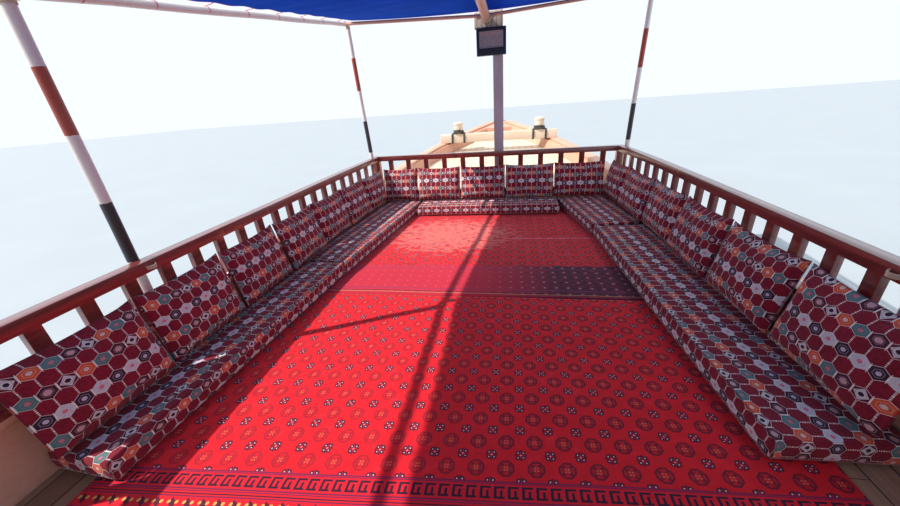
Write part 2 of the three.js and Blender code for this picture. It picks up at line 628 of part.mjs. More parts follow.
// Soft furnishings. A pad is a closed, crowned block: length along x, depth along y, height along z.
// A mitre shortens its +x end towards the bottom, where it meets a leaning neighbour.
function pad(length, depth, height, crown, mitre) {
  const rings = span(-1, 1, 6).map((a) => {
    const edge = Math.sqrt(Math.max(0, 1 - Math.abs(a) ** 5));
    const thick = (depth / 2) * lerp(0.45, 1, edge);
    const tall = (height / 2) * (1 - 0.05 * (1 - Math.abs(a)) ** 2);
    const pull = crown * edge;
    return [
      [-0.96, -0.55], [-0.5, -1], [0.5, -1], [0.96, -0.55], [0.96, 0.55], [0.5, 1], [-0.5, 1], [-0.96, 0.55],
    ].map(([u, v]) => {
      const end = length / 2 - (mitre * (1 - u)) / 2;
      return v3(lerp(-length / 2, end, (a + 1) / 2), v * (thick + (Math.abs(u) < 0.6 ? pull : 0)), u * tall);
    });
  });
  return loft(rings, ["y", "z"]);
}
const CARPET_T = 10;
const FLOOR_Z = DECK_Z + CARPET_T + GAP;
const MATTRESS_H = 165;
function mattressSolid(length, aftWidth, fwdWidth = aftWidth) {
  const rings = span(-1, 1, 6).map((a) => {
    const end = 1 - 0.06 * Math.abs(a) ** 8;
    const half = lerp(aftWidth, fwdWidth, (a + 1) / 2) / 2;
    const crown = 8 * (1 - a * a);
    return [
      [-1, 0.1], [-0.97, 0], [0.97, 0], [1, 0.1], [1, 0.85], [0.94, 1], [-0.94, 1], [-1, 0.85],
    ].map(([u, v]) => v3(u * half, (a * length) / 2, v * MATTRESS_H * end + (v > 0.9 ? crown : 0)));
  });
  return loft(rings);
}
// Side mattresses. Columns: name, side, inner corner at the forward end, inner corner aft, width at each end.
const mattresses = [
  { name: "mattress_port_forward", side: -1, fwd: [1182, 3390], aft: [1450, 890], widths: [606, 590] },
  { name: "mattress_port_aft", side: -1, fwd: [1462, 870], aft: [1640, -1440], widths: [568, 430] },
  { name: "mattress_starboard_forward", side: 1, fwd: [1052, 3380], aft: [1300, 2040], widths: [733, 645] },
  { name: "mattress_starboard_aft", side: 1, fwd: [1322, 1970], aft: [1495, -960], widths: [623, 576] },
];
const seats = [];
function addMattress(name, geometry, turn, x, y) {
  geometry.rotateZ(turn).translate(x, y, FLOOR_Z);
  seats.push(add(name, geometry, paint.kilim));
}
for (const { name, side, fwd, aft, widths } of mattresses) {
  const a = new THREE.Vector2(side * (fwd[0] + widths[0] / 2), fwd[1]);
  const b = new THREE.Vector2(side * (aft[0] + widths[1] / 2), aft[1]);
  const along = a.clone().sub(b);
  const mid = a.clone().add(b).multiplyScalar(0.5);
  const turn = Math.atan2(along.y, along.x) - Math.PI / 2;
  addMattress(name, mattressSolid(along.length(), widths[1], widths[0]), turn, mid.x, mid.y);
}
addMattress("mattress_front", mattressSolid(2200, 520), Math.PI / 2, -64, FRONT_Y - 375);

// Back cushions stand on the mattresses and lean on the rails. A row runs along its rail from start by
// pitch; the frame of each is: local +y to the rail, local +x along it.
const CUSHION = { depth: 110, height: 520, crown: 14 };
const SEAT_Z = FLOOR_Z + MATTRESS_H;
const SINK = 24; // how far a cushion's bottom edge settles below the top of its mattress
function cushion(name, x, y, facing, lean, length, mitre = 0) {
  const rise = (CUSHION.height / 2) * Math.cos(lean) + (CUSHION.depth / 2) * Math.sin(lean);
  const geometry = pad(length, CUSHION.depth, CUSHION.height, CUSHION.crown, mitre);
  geometry.rotateX(-lean).rotateZ(facing).translate(x, y, SEAT_Z + rise - SINK);
  add(name, bed(geometry, ...seats), paint.kilim);
}
// How far a leaning cushion's centre stays off the face it leans on
const standOff = (lean) => (CUSHION.height / 2) * Math.sin(lean) + (CUSHION.depth / 2) * Math.cos(lean) - 2;
const FRONT_LEAN = 0.28;
// Front row. Columns: middle, length.
const frontRow = [
  { x: -1533, length: 604 },
  { x: -865, length: 710 },
  { x: -139, length: 722 },
  { x: 605, length: 746 },
  { x: 1358, length: 740 },
];
frontRow.forEach(({ x, length }, i) => {
  cushion(`cushion_front_${i + 1}`, x, FRONT_Y - RAIL_W / 2 - standOff(FRONT_LEAN), 0, FRONT_LEAN, length);
});
// Side rows. Columns: side, sign, count, forward end of the first, its length, length and pitch of the rest.
const sideRows = [
  { side: "port", sign: -1, count: 7, start: 3326, first: 670, length: 672, pitch: 688, mitre: 165 },
  { side: "starboard", sign: 1, count: 6, start: 3405, first: 645, length: 720, pitch: 740, mitre: 0 },
];
for (const { side, sign, count, start, first, length, pitch, mitre } of sideRows) {
  let end = start;
  for (let i = 0; i < count; i++) {
    const long = i ? length : first;
    const lean = 0.2 + 0.03 * Math.sin(2.4 * i);
    const y = end - long / 2;
    const away = gunwale(y).half - RAIL_FACE - standOff(lean) - 9;
    const turn = 0.012 * Math.sin(1.7 * i + 1) * (i ? 1 : 0) - (sign * (railHalf(y + 200) - railHalf(y - 200))) / 400;
    cushion(`cushion_${side}_${i + 1}`, sign * away, y, -sign * (Math.PI / 2) + turn, lean, long, i ? 0 : mitre);
    end -= i ? pitch : first + pitch - length;
  }
}

// Carpets
const CARPET_HALF = 1810;
const CARPET_SEAM_Y = FRONT_Y - 3045;
const carpets = { forward: [CARPET_SEAM_Y + 2, FRONT_Y - 300], aft: [FRONT_Y - 5180, CARPET_SEAM_Y - 2] };
for (const [name, [y0, y1]] of Object.entries(carpets)) {
  add(`carpet_${name}`, box(-CARPET_HALF, CARPET_HALF, y0, y1, DECK_Z + GAP, DECK_Z + CARPET_T), paint.carpet);
}

// Engine under its box, with a hinged lid
const ENGINE_BOX = { half: 520, y0: -4880, y1: -3640, top: DECK_Z + 620, wall: 28 };
{
  const { half, y0, y1, top, wall } = ENGINE_BOX;
  add(
    "engine_box",
    cut(
      box(-half, half, y0, y1, DECK_Z + GAP, top),
      box(-half + wall, half - wall, y0 + wall, y1 - wall, DECK_Z - 50, top + 50),
    ),
    paint.cream,
  );
  add("engine", box(-330, 330, y0 + 140, y1 - 140, DECK_Z + GAP, DECK_Z + 520), paint.iron);
  add("engine_lid", box(-half - 25, half + 25, y0 - 25, y1 + 25, top + GAP, top + 34), paint.railWood);
}

// Helm: a pedestal with a spoked wheel on its aft side, and a bench
const HELM_Y = -5750;
const WHEEL_Z = AFT_DECK_Z + 640;
const WHEEL_SHAFT_R = 18;
add(
  "helm_pedestal",
  cut(
    join([
      box(-230, 230, HELM_Y - 110, HELM_Y + 130, AFT_DECK_Z + GAP, AFT_DECK_Z + 830),
      box(-260, 260, HELM_Y - 130, HELM_Y + 160, AFT_DECK_Z + 825, AFT_DECK_Z + 865),
    ]),
    hole(v3(0, HELM_Y - 200, WHEEL_Z), v3(0, HELM_Y + 20, WHEEL_Z), WHEEL_SHAFT_R),
  ),
  paint.cream,
);
{
  const wheelY = HELM_Y - 210;
  const rim = new THREE.TorusGeometry(300, 20, 8, 28).rotateX(Math.PI / 2).translate(0, wheelY, WHEEL_Z);
  const hub = bar(v3(0, wheelY - 35, WHEEL_Z), v3(0, HELM_Y - 140, WHEEL_Z), 48, 14);
  const shaft = bar(v3(0, wheelY, WHEEL_Z), v3(0, HELM_Y + 10, WHEEL_Z), WHEEL_SHAFT_R, 14);
  const spokes = Array.from({ length: 8 }, (_, i) => {
    const angle = (i * Math.PI) / 4;
    const reach = v3(Math.cos(angle) * 405, 0, Math.sin(angle) * 405);
    return bar(v3(0, wheelY, WHEEL_Z), reach.add(v3(0, wheelY, WHEEL_Z)), 14, 6);
  });
  add("steering_wheel", join([rim, hub, shaft, ...spokes]), paint.railWood);
}
add(
  "helm_bench",
  join([
    box(-700, 700, -7150, -6790, AFT_DECK_Z + 400, AFT_DECK_Z + 440),
    box(-640, -590, -7110, -6830, AFT_DECK_Z + GAP, AFT_DECK_Z + 405),
    box(590, 640, -7110, -6830, AFT_DECK_Z + GAP, AFT_DECK_Z + 405),
  ]),
  paint.railWood,
);

// Rudder: a blade and stock, notched round the lugs, with a pin through each notch
{
  // Blade outline: distance aft of the axis, distance along it
  const outline = [
    [0, -60], [620, -40], [790, 220], [700, 900], [420, 1500], [260, 1800], [210, RUDDER_TOP], [0, RUDDER_TOP],
  ];
  const shape = new THREE.Shape(outline.map(([a, h]) => new THREE.Vector2(a, h)));
  const blade = new THREE.ExtrudeGeometry(shape, { depth: 84, bevelEnabled: false }).translate(0, 0, -42);
  const basis = new THREE.Matrix4().makeBasis(aftward, rake, v3(-1, 0, 0));
  blade.applyMatrix4(basis).translate(hingeFoot.x, hingeFoot.y, hingeFoot.z);
  const stock = bar(onHinge(-60), onHinge(RUDDER_TOP), RUDDER_R, 16);
  const notches = LUG.at.map((h) => bar(onHinge(h - LUG.slot / 2), onHinge(h + LUG.slot / 2), LUG.notch, 20));
  const pins = LUG.at.map((h) => bar(onHinge(h - LUG.slot), onHinge(h + LUG.slot), PIN_R, 16));
  add("rudder", join([cut(join([blade, stock]), ...notches), ...pins]), paint.hullWood);
}

// Propeller on its shaft: three pitched blades, each a flat plate
const BLADE_PITCH = 0.62;
const BLADE_T = 16;
{
  // Hub and shaft. Columns: radius, distance forward of the blades.
  const profile = [
    [0, -150], [42, -120], [62, -40], [62, 90], [SHAFT_R, 110], [SHAFT_R, 560], [0, 560],
  ];
  const hub = new THREE.LatheGeometry(profile.map(([r, t]) => new THREE.Vector2(r, t)), 18);
  // Blade outline. Columns: distance across the blade, radius.
  const outline = [
    [-46, 40], [46, 40], [92, 130], [104, 210], [84, 282], [34, 320], [-34, 320], [-84, 282], [-104, 210], [-92, 130],
  ];
  const shape = new THREE.Shape(outline.map(([c, r]) => new THREE.Vector2(c, r)));
  const blades = [0, 1, 2].map((i) => {
    const plate = new THREE.ExtrudeGeometry(shape, { depth: BLADE_T, bevelEnabled: false });
    plate.translate(0, 0, -BLADE_T / 2).rotateY(BLADE_PITCH);
    // Radius to +Z, the shaft's line to +Y
    return plate.rotateX(Math.PI / 2).rotateY((i * 2 * Math.PI) / 3);
  });
  add("propeller", join([hub, ...blades]).translate(0, PROP_Y, PROP_Z), paint.bronze);
}

export default boat;
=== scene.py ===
# %% [markdown]
# # A wooden motor dhow, dressed for rendering
#
# The solids of the boat are loaded as a fixed frame: hull, decks, rails, awning frame, mattresses and
# cushions all stand where they belong, in metres, with the bow towards +Y and the waterline at z = 0.
# The cells below give them their looks. Some solids only get a finish. Others are replaced by a finer
# piece in the same place: stuffed cushions, rugs, a stretched cloth awning, round poles, lashings.

# %% Load the frame
import math
import bmesh
import bpy
import numpy as np
from mathutils import Matrix


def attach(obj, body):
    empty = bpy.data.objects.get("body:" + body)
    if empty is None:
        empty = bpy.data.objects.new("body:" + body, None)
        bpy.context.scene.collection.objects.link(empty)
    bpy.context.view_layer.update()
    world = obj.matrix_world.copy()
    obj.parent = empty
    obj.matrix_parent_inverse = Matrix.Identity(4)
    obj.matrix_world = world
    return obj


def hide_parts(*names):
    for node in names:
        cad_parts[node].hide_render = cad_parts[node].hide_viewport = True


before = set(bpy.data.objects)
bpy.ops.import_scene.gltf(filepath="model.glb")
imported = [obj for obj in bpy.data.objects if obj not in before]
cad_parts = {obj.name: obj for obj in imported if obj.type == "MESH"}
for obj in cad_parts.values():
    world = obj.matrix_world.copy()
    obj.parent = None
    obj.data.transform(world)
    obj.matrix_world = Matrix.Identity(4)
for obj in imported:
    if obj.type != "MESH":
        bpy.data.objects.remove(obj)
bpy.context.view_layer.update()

# %% [markdown]
# ## Camera
#
# The picture is taken by somebody who stands on the carpets and looks forward and down, holding the camera
# a little tilted. A camera's pose is a place and three angles. They were found by matching the rail, the
# row of balusters, the square post and the horizon, so here they are simply numbers.

# %% Camera
PICTURE_WIDTH = 900
FOCAL_PIXELS = 342
EYE = (0.31, -2.262, 2.813)
PITCH, YAW, ROLL = (math.radians(a) for a in (23.78, 10.94, -4.28))
SENSOR = 36


def camera_axes():
    """Right, up and forward of a camera turned by YAW, tipped down by PITCH and rolled by ROLL."""
    forward = np.array([
        -math.sin(YAW) * math.cos(PITCH), math.cos(YAW) * math.cos(PITCH), -math.sin(PITCH),
    ])
    level = np.array([math.cos(YAW), math.sin(YAW), 0.0])
    above = np.cross(level, forward)
    c, s = math.cos(ROLL), math.sin(ROLL)
    return c * level + s * above, -s * level + c * above, forward


right, up, forward = camera_axes()
lens = bpy.data.cameras.new("eye")
lens.sensor_width = SENSOR
lens.lens = FOCAL_PIXELS * SENSOR / PICTURE_WIDTH
lens.clip_start, lens.clip_end = 0.05, 400
camera = bpy.data.objects.new("eye", lens)
camera.matrix_world = Matrix([
    [right[0], up[0], -forward[0], EYE[0]],
    [right[1], up[1], -forward[1], EYE[1]],
    [right[2], up[2], -forward[2], EYE[2]],
    [0, 0, 0, 1],
])
bpy.context.collection.objects.link(camera)
bpy.context.scene.camera = camera
print("lens", round(lens.lens, 2), "mm")

# %% [markdown]
# ## Light and floor
#
# The sun stands 48 degrees high, to port and a little astern. It passes under the awning and lights one half
# of the carpets. A broad pale sky fills the rest. The floor is a plain pale plane at the waterline, because
# a boat afloat is seen down to the water and no further. Blender's default tone curve greys strong reds,
# and these carpets are very red, so the plain Standard transform is chosen.

# %% Light and floor
SUN_TRAVEL = (0.82, 0.36, -1.0)
SUN_STRENGTH = 4.7
SUN_SOFTNESS = math.radians(0.7)
SUN_COLOUR = (1.0, 0.95, 0.88)
SKY = (0.84, 0.91, 1.0, 1)
SKY_STRENGTH = 1.14
FLOOR_HALF = 120


def sun_lamp():
    """One distant lamp whose rays run along SUN_TRAVEL."""
    data = bpy.data.lights.new("sun", "SUN")
    data.energy, data.angle, data.color = SUN_STRENGTH, SUN_SOFTNESS, SUN_COLOUR
    lamp = bpy.data.objects.new("sun", data)
    travel = np.array(SUN_TRAVEL) / np.linalg.norm(SUN_TRAVEL)
    side = np.cross(travel, (0, 0, 1.0))
    side /= np.linalg.norm(side)
    lamp.matrix_world = Matrix(np.column_stack([side, np.cross(-travel, side), -travel]).tolist()).to_4x4()
    bpy.context.collection.objects.link(lamp)


sun_lamp()
world = bpy.data.worlds.new("sky")
world.use_nodes = True
world.node_tree.nodes["Background"].inputs["Color"].default_value = SKY
world.node_tree.nodes["Background"].inputs["Strength"].default_value = SKY_STRENGTH
bpy.context.scene.world = world
bpy.context.scene.view_settings.view_transform = "Standard"

floor_mesh = bpy.data.meshes.new("floor")
floor_mesh.from_pydata(
    [(x * FLOOR_HALF, y * FLOOR_HALF, 0) for x, y in ((-1, -1), (1, -1), (1, 1), (-1, 1))],
    [], [(0, 1, 2, 3)],
)
floor = bpy.data.objects.new("floor", floor_mesh)
bpy.context.collection.objects.link(floor)

# %% [markdown]
# ## Arithmetic for finishes
#
# A finish is a small network of nodes. Wiring it by hand is slow to read, so one class wraps a socket and
# gives it Python's operators: each `+`, `*` or `<` adds a Math node. A second class owns the material and
# has one method that adds any other node. A pattern can then be written as a formula.


# %% Sockets as numbers
class Value:
    """A socket of a finish. Operators on it add Math nodes and give a new Value."""

    def __init__(self, finish, socket):
        self.finish, self.socket = finish, socket

    def math(self, operation, *others, first=None):
        terms = ([first] if first is not None else []) + [self, *others]
        return self.finish.node("Math", {"operation": operation}, *terms)

    def __add__(self, other):
        return self.math("ADD", other)

    def __sub__(self, other):
        return self.math("SUBTRACT", other)

    def __rsub__(self, other):
        return self.math("SUBTRACT", first=other)

    def __mul__(self, other):
        return self.math("MULTIPLY", other)

    def __truediv__(self, other):
        return self.math("DIVIDE", other)

    def __mod__(self, other):
        return self.math("FLOORED_MODULO", other)

    def __lt__(self, other):
        return self.math("LESS_THAN", other)

    def __gt__(self, other):
        return self.math("GREATER_THAN", other)

    def __abs__(self):
        return self.math("ABSOLUTE")

    def over(self, other):
        return self.math("MAXIMUM", other)

    def whole(self):
        return self.math("FLOOR")

    def sine(self):
        return self.math("SINE")

    def ramp(self, low, high):
        """0 at low, 1 at high, straight between."""
        return self.finish.node("MapRange", {}, self, low, high)

    __rmul__ = __mul__


def tint(r, g, b):
    """A colour as it looks on a screen, 0 to 255, turned into the linear numbers that nodes use."""
    c = np.array([r, g, b]) / 255
    return (*np.where(c <= 0.04045, c / 12.92, ((c + 0.055) / 1.055) ** 2.4).tolist(), 1)


# %% Finishes
class Finish:
    """A material under construction. Uniform settings go straight onto the shader's sockets."""

    def __init__(self, name, slot, **uniform):
        self.slot = slot
        self.material = bpy.data.materials.new(name)
        self.material.use_nodes = True
        self.tree = self.material.node_tree
        self.shader = self.tree.nodes["Principled BSDF"]
        for key, value in uniform.items():
            self.shader.inputs[key.replace("_", " ")].default_value = value

    def node(self, kind, settings, *inputs, out=0, **named):
        """Add a node, set its settings first, then each input from a value or a link."""
        made = self.tree.nodes.new("ShaderNode" + kind)
        for key, value in settings.items():
            setattr(made, key, value)
        pairs = [(made.inputs[i], v) for i, v in enumerate(inputs)]
        pairs += [(made.inputs[key.replace("_", " ")], v) for key, v in named.items()]
        for socket, value in pairs:
            self.feed(socket, value)
        return Value(self, made.outputs[out])

    def feed(self, socket, value):
        if isinstance(value, Value):
            self.tree.links.new(value.socket, socket)
        elif value is not None:
            socket.default_value = value

    def parts(self, vector):
        """The three numbers of a vector."""
        split = self.node("SeparateXYZ", {}, vector).socket.node
        return [Value(self, s) for s in split.outputs]

    def place(self):
        """x, y and z in metres, in the boat's own frame."""
        return self.parts(self.node("TexCoord", {}, out="Object"))

    def along(self, attribute):
        """The three numbers that a piece stores at its points under this name."""
        return self.parts(self.node("Attribute", {"attribute_name": attribute}, out="Vector"))

    def point(self, x, y, z=0.0):
        return self.node("CombineXYZ", {}, x, y, z)

    def noise(self, at, scale, detail=3.0, rough=0.55):
        return self.node("TexNoise", {}, Vector=at, Scale=scale, Detail=detail, Roughness=rough)

    def mix(self, share, a, b):
        """Colour a where share is 0 and b where it is 1."""
        made = self.tree.nodes.new("ShaderNodeMix")
        made.data_type = "RGBA"
        for i, v in ((0, share), (6, a), (7, b)):
            self.feed(made.inputs[i], v)
        return Value(self, made.outputs[2])

    def cover(self, colour, *layers):
        """Lay colours over the first one, in order. Each layer is its share and its colour."""
        for share, over in layers:
            colour = self.mix(share, colour, over)
        return colour

    def relief(self, height, distance, strength=1.0):
        """Bump the surface by height times distance in metres."""
        bump = self.node("Bump", {}, Height=height, Distance=distance, Strength=strength, out="Normal")
        self.feed(self.shader.inputs["Normal"], bump)

    def set(self, **linked):
        for key, value in linked.items():
            self.feed(self.shader.inputs[key.replace("_", " ")], value)


# %% [markdown]
# ## Helpers for patterns
#
# Woven and painted patterns repeat. `tile` finds the nearest motif of a row and how far away it is, and
# `pick` chooses a colour by number. Timber is long streaks of noise, stretched along the piece.


# %% Pattern helpers
GRAIN_ALONG, GRAIN_ACROSS = 1.3, 26
CHIP_LEVEL = 0.71


def tile(value, pitch, start=0.0):
    """Number of the nearest motif on a line of pitch, and the distance to its middle."""
    number = ((value - start) / pitch + 0.5).whole()
    return number, value - start - number * pitch


def pick(finish, number, colours):
    """colours[0] for number 0, colours[1] for number 1, and so on."""
    return finish.cover(colours[0], *[(number > i + 0.5, colour) for i, colour in enumerate(colours[1:])])


def between(value, low, high):
    return (value > low) * (value < high)


def streaks(finish, run, across, depth):
    """Wood grain, 0 to 1: noise that is long along the piece and short across it."""
    at = finish.point(run * GRAIN_ALONG, across * GRAIN_ACROSS, depth * GRAIN_ACROSS)
    return finish.noise(at, 1.6, 6.0, 0.62)


def worn_paint(finish, at, colour, dirt, under):
    """Brushed gloss paint with grime in patches of noise and a few chips down to the colour under it."""
    broad = finish.noise(at, 1.7, 4.0)
    fine = finish.noise(at, 38.0, 4.0, 0.6)
    shaded = finish.mix((broad * 0.6 + fine * 0.25).ramp(0.36, 0.68), dirt, colour)
    chip = finish.noise(at, 9.0, 6.0, 0.75) > CHIP_LEVEL
    return finish.mix(chip, shaded, under), chip, fine


def dress(node, finish):
    """Give a carried-over solid its finish, on every material slot it has."""
    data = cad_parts[node].data
    if not data.materials:
        data.materials.append(None)
    for i in range(len(data.materials)):
        data.materials[i] = finish.material


# %% [markdown]
# ## Paint and varnish
#
# The rails are dark red-brown under varnish: a streaked wood colour with a clear coat, which is what gives
# their tops a pale sheen. Caps, bulwarks and ridge pole are peach gloss, and the foredeck, the beam and
# the bitts are cream. Thick brush paint is never even, so both carry grime and a few chips.

# %% Varnished rails
varnish = Finish("rail varnish", "rail_timber", Coat_Roughness=0.2, Coat_IOR=1.6)
x, y, z = varnish.place()
figure = streaks(varnish, y + x * 0.3, x, z)
rubbed = varnish.noise(varnish.point(x, y, z), 5.0, 5.0)
varnish.set(
    Base_Color=varnish.mix(
        rubbed.ramp(0.62, 0.74),
        varnish.mix(figure.ramp(0.3, 0.72), tint(84, 22, 24), tint(146, 52, 46)),
        tint(176, 104, 92),
    ),
    Roughness=figure * 0.22 + 0.26,
    Coat_Weight=0.9 - rubbed.ramp(0.6, 0.75) * 0.5,
)
varnish.relief(figure, 0.0012)

# %% Peach and cream paint
DECK_GAP_HALF = 0.0035
# Each paint is its colour, its grime and the colour under its chips
PEACH_TONES = tint(240, 196, 172), tint(216, 160, 134), tint(176, 130, 104)
CREAM_TONES = tint(240, 226, 204), tint(222, 200, 176), tint(198, 160, 130)
DECK_TONES = tint(240, 226, 202), tint(226, 204, 178), tint(202, 170, 142)
PLANK_TONES = tint(214, 204, 190), tint(176, 160, 142), tint(128, 108, 90)
POST_TONES = tint(208, 198, 206), tint(186, 172, 180), tint(146, 118, 104)


def gloss(name, tones, seams=None, slot="cream_paint"):
    """Brush paint for caps, decks and fittings. seams is the pitch of planks across the boat."""
    made = Finish(name, slot, Coat_Weight=0.18, Coat_Roughness=0.3)
    x, y, z = made.place()
    skin, chip, fine = worn_paint(made, made.point(x, y * 0.6, z), *tones)
    height = fine * 0.3 - chip * 0.5
    if seams:
        gap = abs(tile(x, seams, seams / 2)[1]) < DECK_GAP_HALF
        skin = made.mix(gap * 0.75, skin, tint(96, 78, 62))
        height = height - gap * 2.0
    made.set(Base_Color=skin, Roughness=fine * 0.25 + 0.36)
    made.relief(height, 0.0012)
    return made


peach = gloss("peach gloss", PEACH_TONES)
cream = gloss("cream gloss", CREAM_TONES)
deck_cream = gloss("cream deck", DECK_TONES, seams=0.145)
weathered = gloss("weathered plank", PLANK_TONES, seams=0.07)

# %% [markdown]
# Poles are painted in bands, and the bands of each pole sit at their own heights. The heights step down
# evenly from the forward pole to the next one, so a band's edge is a straight line in y.

# %% Pole bands
FORWARD_POLE_Y, MIDDLE_POLE_Y = 3.49, -0.56
# Band edges going down a pole. Columns: height at the forward pole, at the middle one, colour below it.
POLE_BANDS = [
    (3.535, 3.14, tint(164, 58, 36)),
    (3.075, 2.79, tint(226, 216, 212)),
    (2.62, 2.39, tint(36, 32, 42)),
    (2.12, 1.99, tint(226, 218, 214)),
]
bands = Finish("banded poles", "pole_paint", Coat_Weight=0.25, Coat_Roughness=0.25)
x, y, z = bands.place()
slide = (FORWARD_POLE_Y - y) / (FORWARD_POLE_Y - MIDDLE_POLE_Y)
wobble = bands.noise(bands.point(x * 6, y * 6, z * 3), 9.0) * 0.008
stripe = bands.cover(tint(226, 216, 212), *[
    ((z + wobble) < slide * (abeam - ahead) + ahead, colour) for ahead, abeam, colour in POLE_BANDS
])
fine = bands.noise(bands.point(x, y, z), 60.0, 4.0)
scuff = bands.noise(bands.point(x * 3, y * 3, z), 7.0, 6.0, 0.7) > 0.68
bands.set(Base_Color=bands.mix(scuff * 0.6, stripe, tint(140, 122, 110)), Roughness=fine * 0.3 + 0.3)
bands.relief(fine - scuff, 0.0006)

post_paint = gloss("lilac grey post", POST_TONES, slot="pole_paint")

# %% [markdown]
# ## Bare timber
#
# The hull is oiled planking. Each strake carries its own number along the hull as a stored value, so its
# seams follow the sheer instead of running level. Decks are straight planks, so there the plain position
# is enough.

# %% Bare timber
STRAKE_WIDTH, DECK_PLANK_WIDTH = 0.17, 0.14
SEAM_HALF, PLANK_LENGTH = 0.004, 3.1
SEAM_BLACK = tint(30, 22, 18)
TRANSOM_Y, WALE_Z = -7.42, 1.08
# Along the raked stem, y less STEM_RAKE times z is constant
STEM_RAKE, STEM_LINE = 0.984, 5.93


def planked(made, dark, light, run, across, depth, width):
    """Planks of a width, with a dark caulked seam, staggered ends and a tone of their own."""
    number, offset = tile(across, width)
    stagger = number * 1.27
    _, end = tile(run + stagger, PLANK_LENGTH)
    plank_end = ((run + stagger) / PLANK_LENGTH + 0.5).whole()
    plank = made.noise(made.point(number * 3.7, plank_end * 5.3), 1.0, 0.0)
    seams = (abs(offset) > (width / 2 - SEAM_HALF)).over(abs(end) < SEAM_HALF * 0.5)
    wood = streaks(made, run, across, depth)
    tone = made.mix((wood * 0.55 + plank * 0.75).ramp(0.36, 0.92), dark, light)
    made.set(Base_Color=made.mix(seams * 0.85, tone, SEAM_BLACK), Roughness=wood * 0.3 + 0.42)
    made.relief(wood * 0.4 - seams * 2.2, 0.0015)


hull_oil = Finish("oiled strakes", "planking", Coat_Weight=0.12, Coat_Roughness=0.35)
planked(hull_oil, tint(104, 58, 32), tint(178, 112, 64), *hull_oil.along("strake"), STRAKE_WIDTH)

keel_oil = Finish("oiled backbone", "planking")
x, y, z = keel_oil.place()
wood = streaks(keel_oil, y * 0.7 + z * 0.7, x, z * 0.3)
keel_oil.set(
    Base_Color=keel_oil.mix(wood.ramp(0.3, 0.75), tint(70, 40, 24), tint(140, 88, 50)),
    Roughness=wood * 0.3 + 0.4,
)
keel_oil.relief(wood, 0.0015)

deck_oil = Finish("scrubbed deck", "deck_timber")
x, y, z = deck_oil.place()
planked(deck_oil, tint(128, 96, 70), tint(190, 158, 122), y, x, z, DECK_PLANK_WIDTH)

# The hull is peach inside its bulwarks. Its transom, its stem and all below the wale are wood
hull_paint = Finish("bulwark and transom", "planking", Coat_Weight=0.15, Coat_Roughness=0.3)
x, y, z = hull_paint.place()
skin, _, fine = worn_paint(hull_paint, hull_paint.point(x, y * 0.6, z), *PEACH_TONES)
wood = streaks(hull_paint, x, z, y * 0.3)
transom_seam = abs(tile(z, STRAKE_WIDTH)[1]) > STRAKE_WIDTH / 2 - SEAM_HALF
bare = hull_paint.mix(wood.ramp(0.3, 0.75), tint(92, 52, 28), tint(168, 104, 58))
bare = hull_paint.mix(transom_seam * 0.8, bare, SEAM_BLACK)
outside = (y < TRANSOM_Y).over(z < WALE_Z).over(y - z * STEM_RAKE > STEM_LINE)
hull_paint.set(Base_Color=hull_paint.mix(outside, skin, bare), Roughness=fine * 0.25 + 0.38)
hull_paint.relief(fine * 0.3 - transom_seam * outside, 0.0015)

# %% [markdown]
# ## Woven covers
#
# The cushions and floor mattresses share one cloth: a maroon ground with filled hexagons, flat at their
# sides and pointed towards the next row, tied to each other by pale bars and small beads. Two rows run
# through orange, grey-green, plum and white, and every third row is only white and dark. The cloth's
# own coordinates are stored on each piece, so the rows follow its stuffing.

# %% Hexagon cloth
CLOTH_PITCH, CLOTH_ROW = 0.077, 0.121
HEX_HALF_WIDTH, HEX_HALF_HEIGHT, HEX_SHOULDER = 0.0372, 0.0370, 0.45
DIAMOND_HALF_WIDTH, DIAMOND_HALF_HEIGHT = 0.032, 0.031
CORE_REACH, WIDE_CORE_REACH, OUTLINE_REACH = 0.30, 0.42, 0.94
BAR_HALF_LENGTH, BAR_HALF_WIDTH = 0.024, 0.0016
BEAD_HALF_WIDTH, BEAD_PITCH = 0.0034, 0.0080
THREAD, SEAM_HEM_AND_SHADE = 0.0042, 0.007
GROUND, GROUND_SHADE, PALE = tint(158, 16, 46), tint(100, 10, 36), tint(242, 232, 224)
# Columns: colour of the hexagon, colour of its core
COLOURED = [
    (tint(220, 88, 48), tint(226, 200, 190)), (tint(78, 126, 128), tint(206, 120, 130)),
    (tint(72, 18, 42), tint(206, 160, 164)), (tint(220, 212, 214), tint(50, 18, 46)),
]
PLAIN = [(tint(210, 212, 218), tint(226, 122, 142)), (tint(52, 28, 46), tint(206, 190, 210))]

weave = Finish("hexagon cloth", "woven_cover", Roughness=0.94, Sheen_Weight=0.06, Sheen_Roughness=0.5)
u, v, seam = weave.along("cloth")
column, x = tile(u, CLOTH_PITCH)
row, y = tile(v, CLOTH_ROW)
x, y = abs(x), abs(y)
slope = HEX_HALF_HEIGHT * (1 - HEX_SHOULDER) / HEX_HALF_WIDTH
reach = (x / HEX_HALF_WIDTH).over((y + x * slope) / HEX_HALF_HEIGHT)
plain_row = (row % 3) < 0.5
colour_number = (column + row * 2) % len(COLOURED)
plain_number = (column + row) % len(PLAIN)
fill, core = [
    weave.mix(plain_row, pick(weave, colour_number, coloured), pick(weave, plain_number, plain))
    for coloured, plain in zip(zip(*COLOURED), zip(*PLAIN))
]
plum = between(colour_number, 1.5, 2.5) * (1 - plain_row)
white = (colour_number > 2.5) * (1 - plain_row)
beside_diamond = (x / DIAMOND_HALF_WIDTH + y / DIAMOND_HALF_HEIGHT) > 1
motif = weave.cover(
    fill,
    (between(reach, 0.52, 0.60) * 0.4, core),
    (reach < plum * (WIDE_CORE_REACH - CORE_REACH) + CORE_REACH, core),
    (white * beside_diamond, GROUND_SHADE),
    (reach > OUTLINE_REACH, PALE),
)
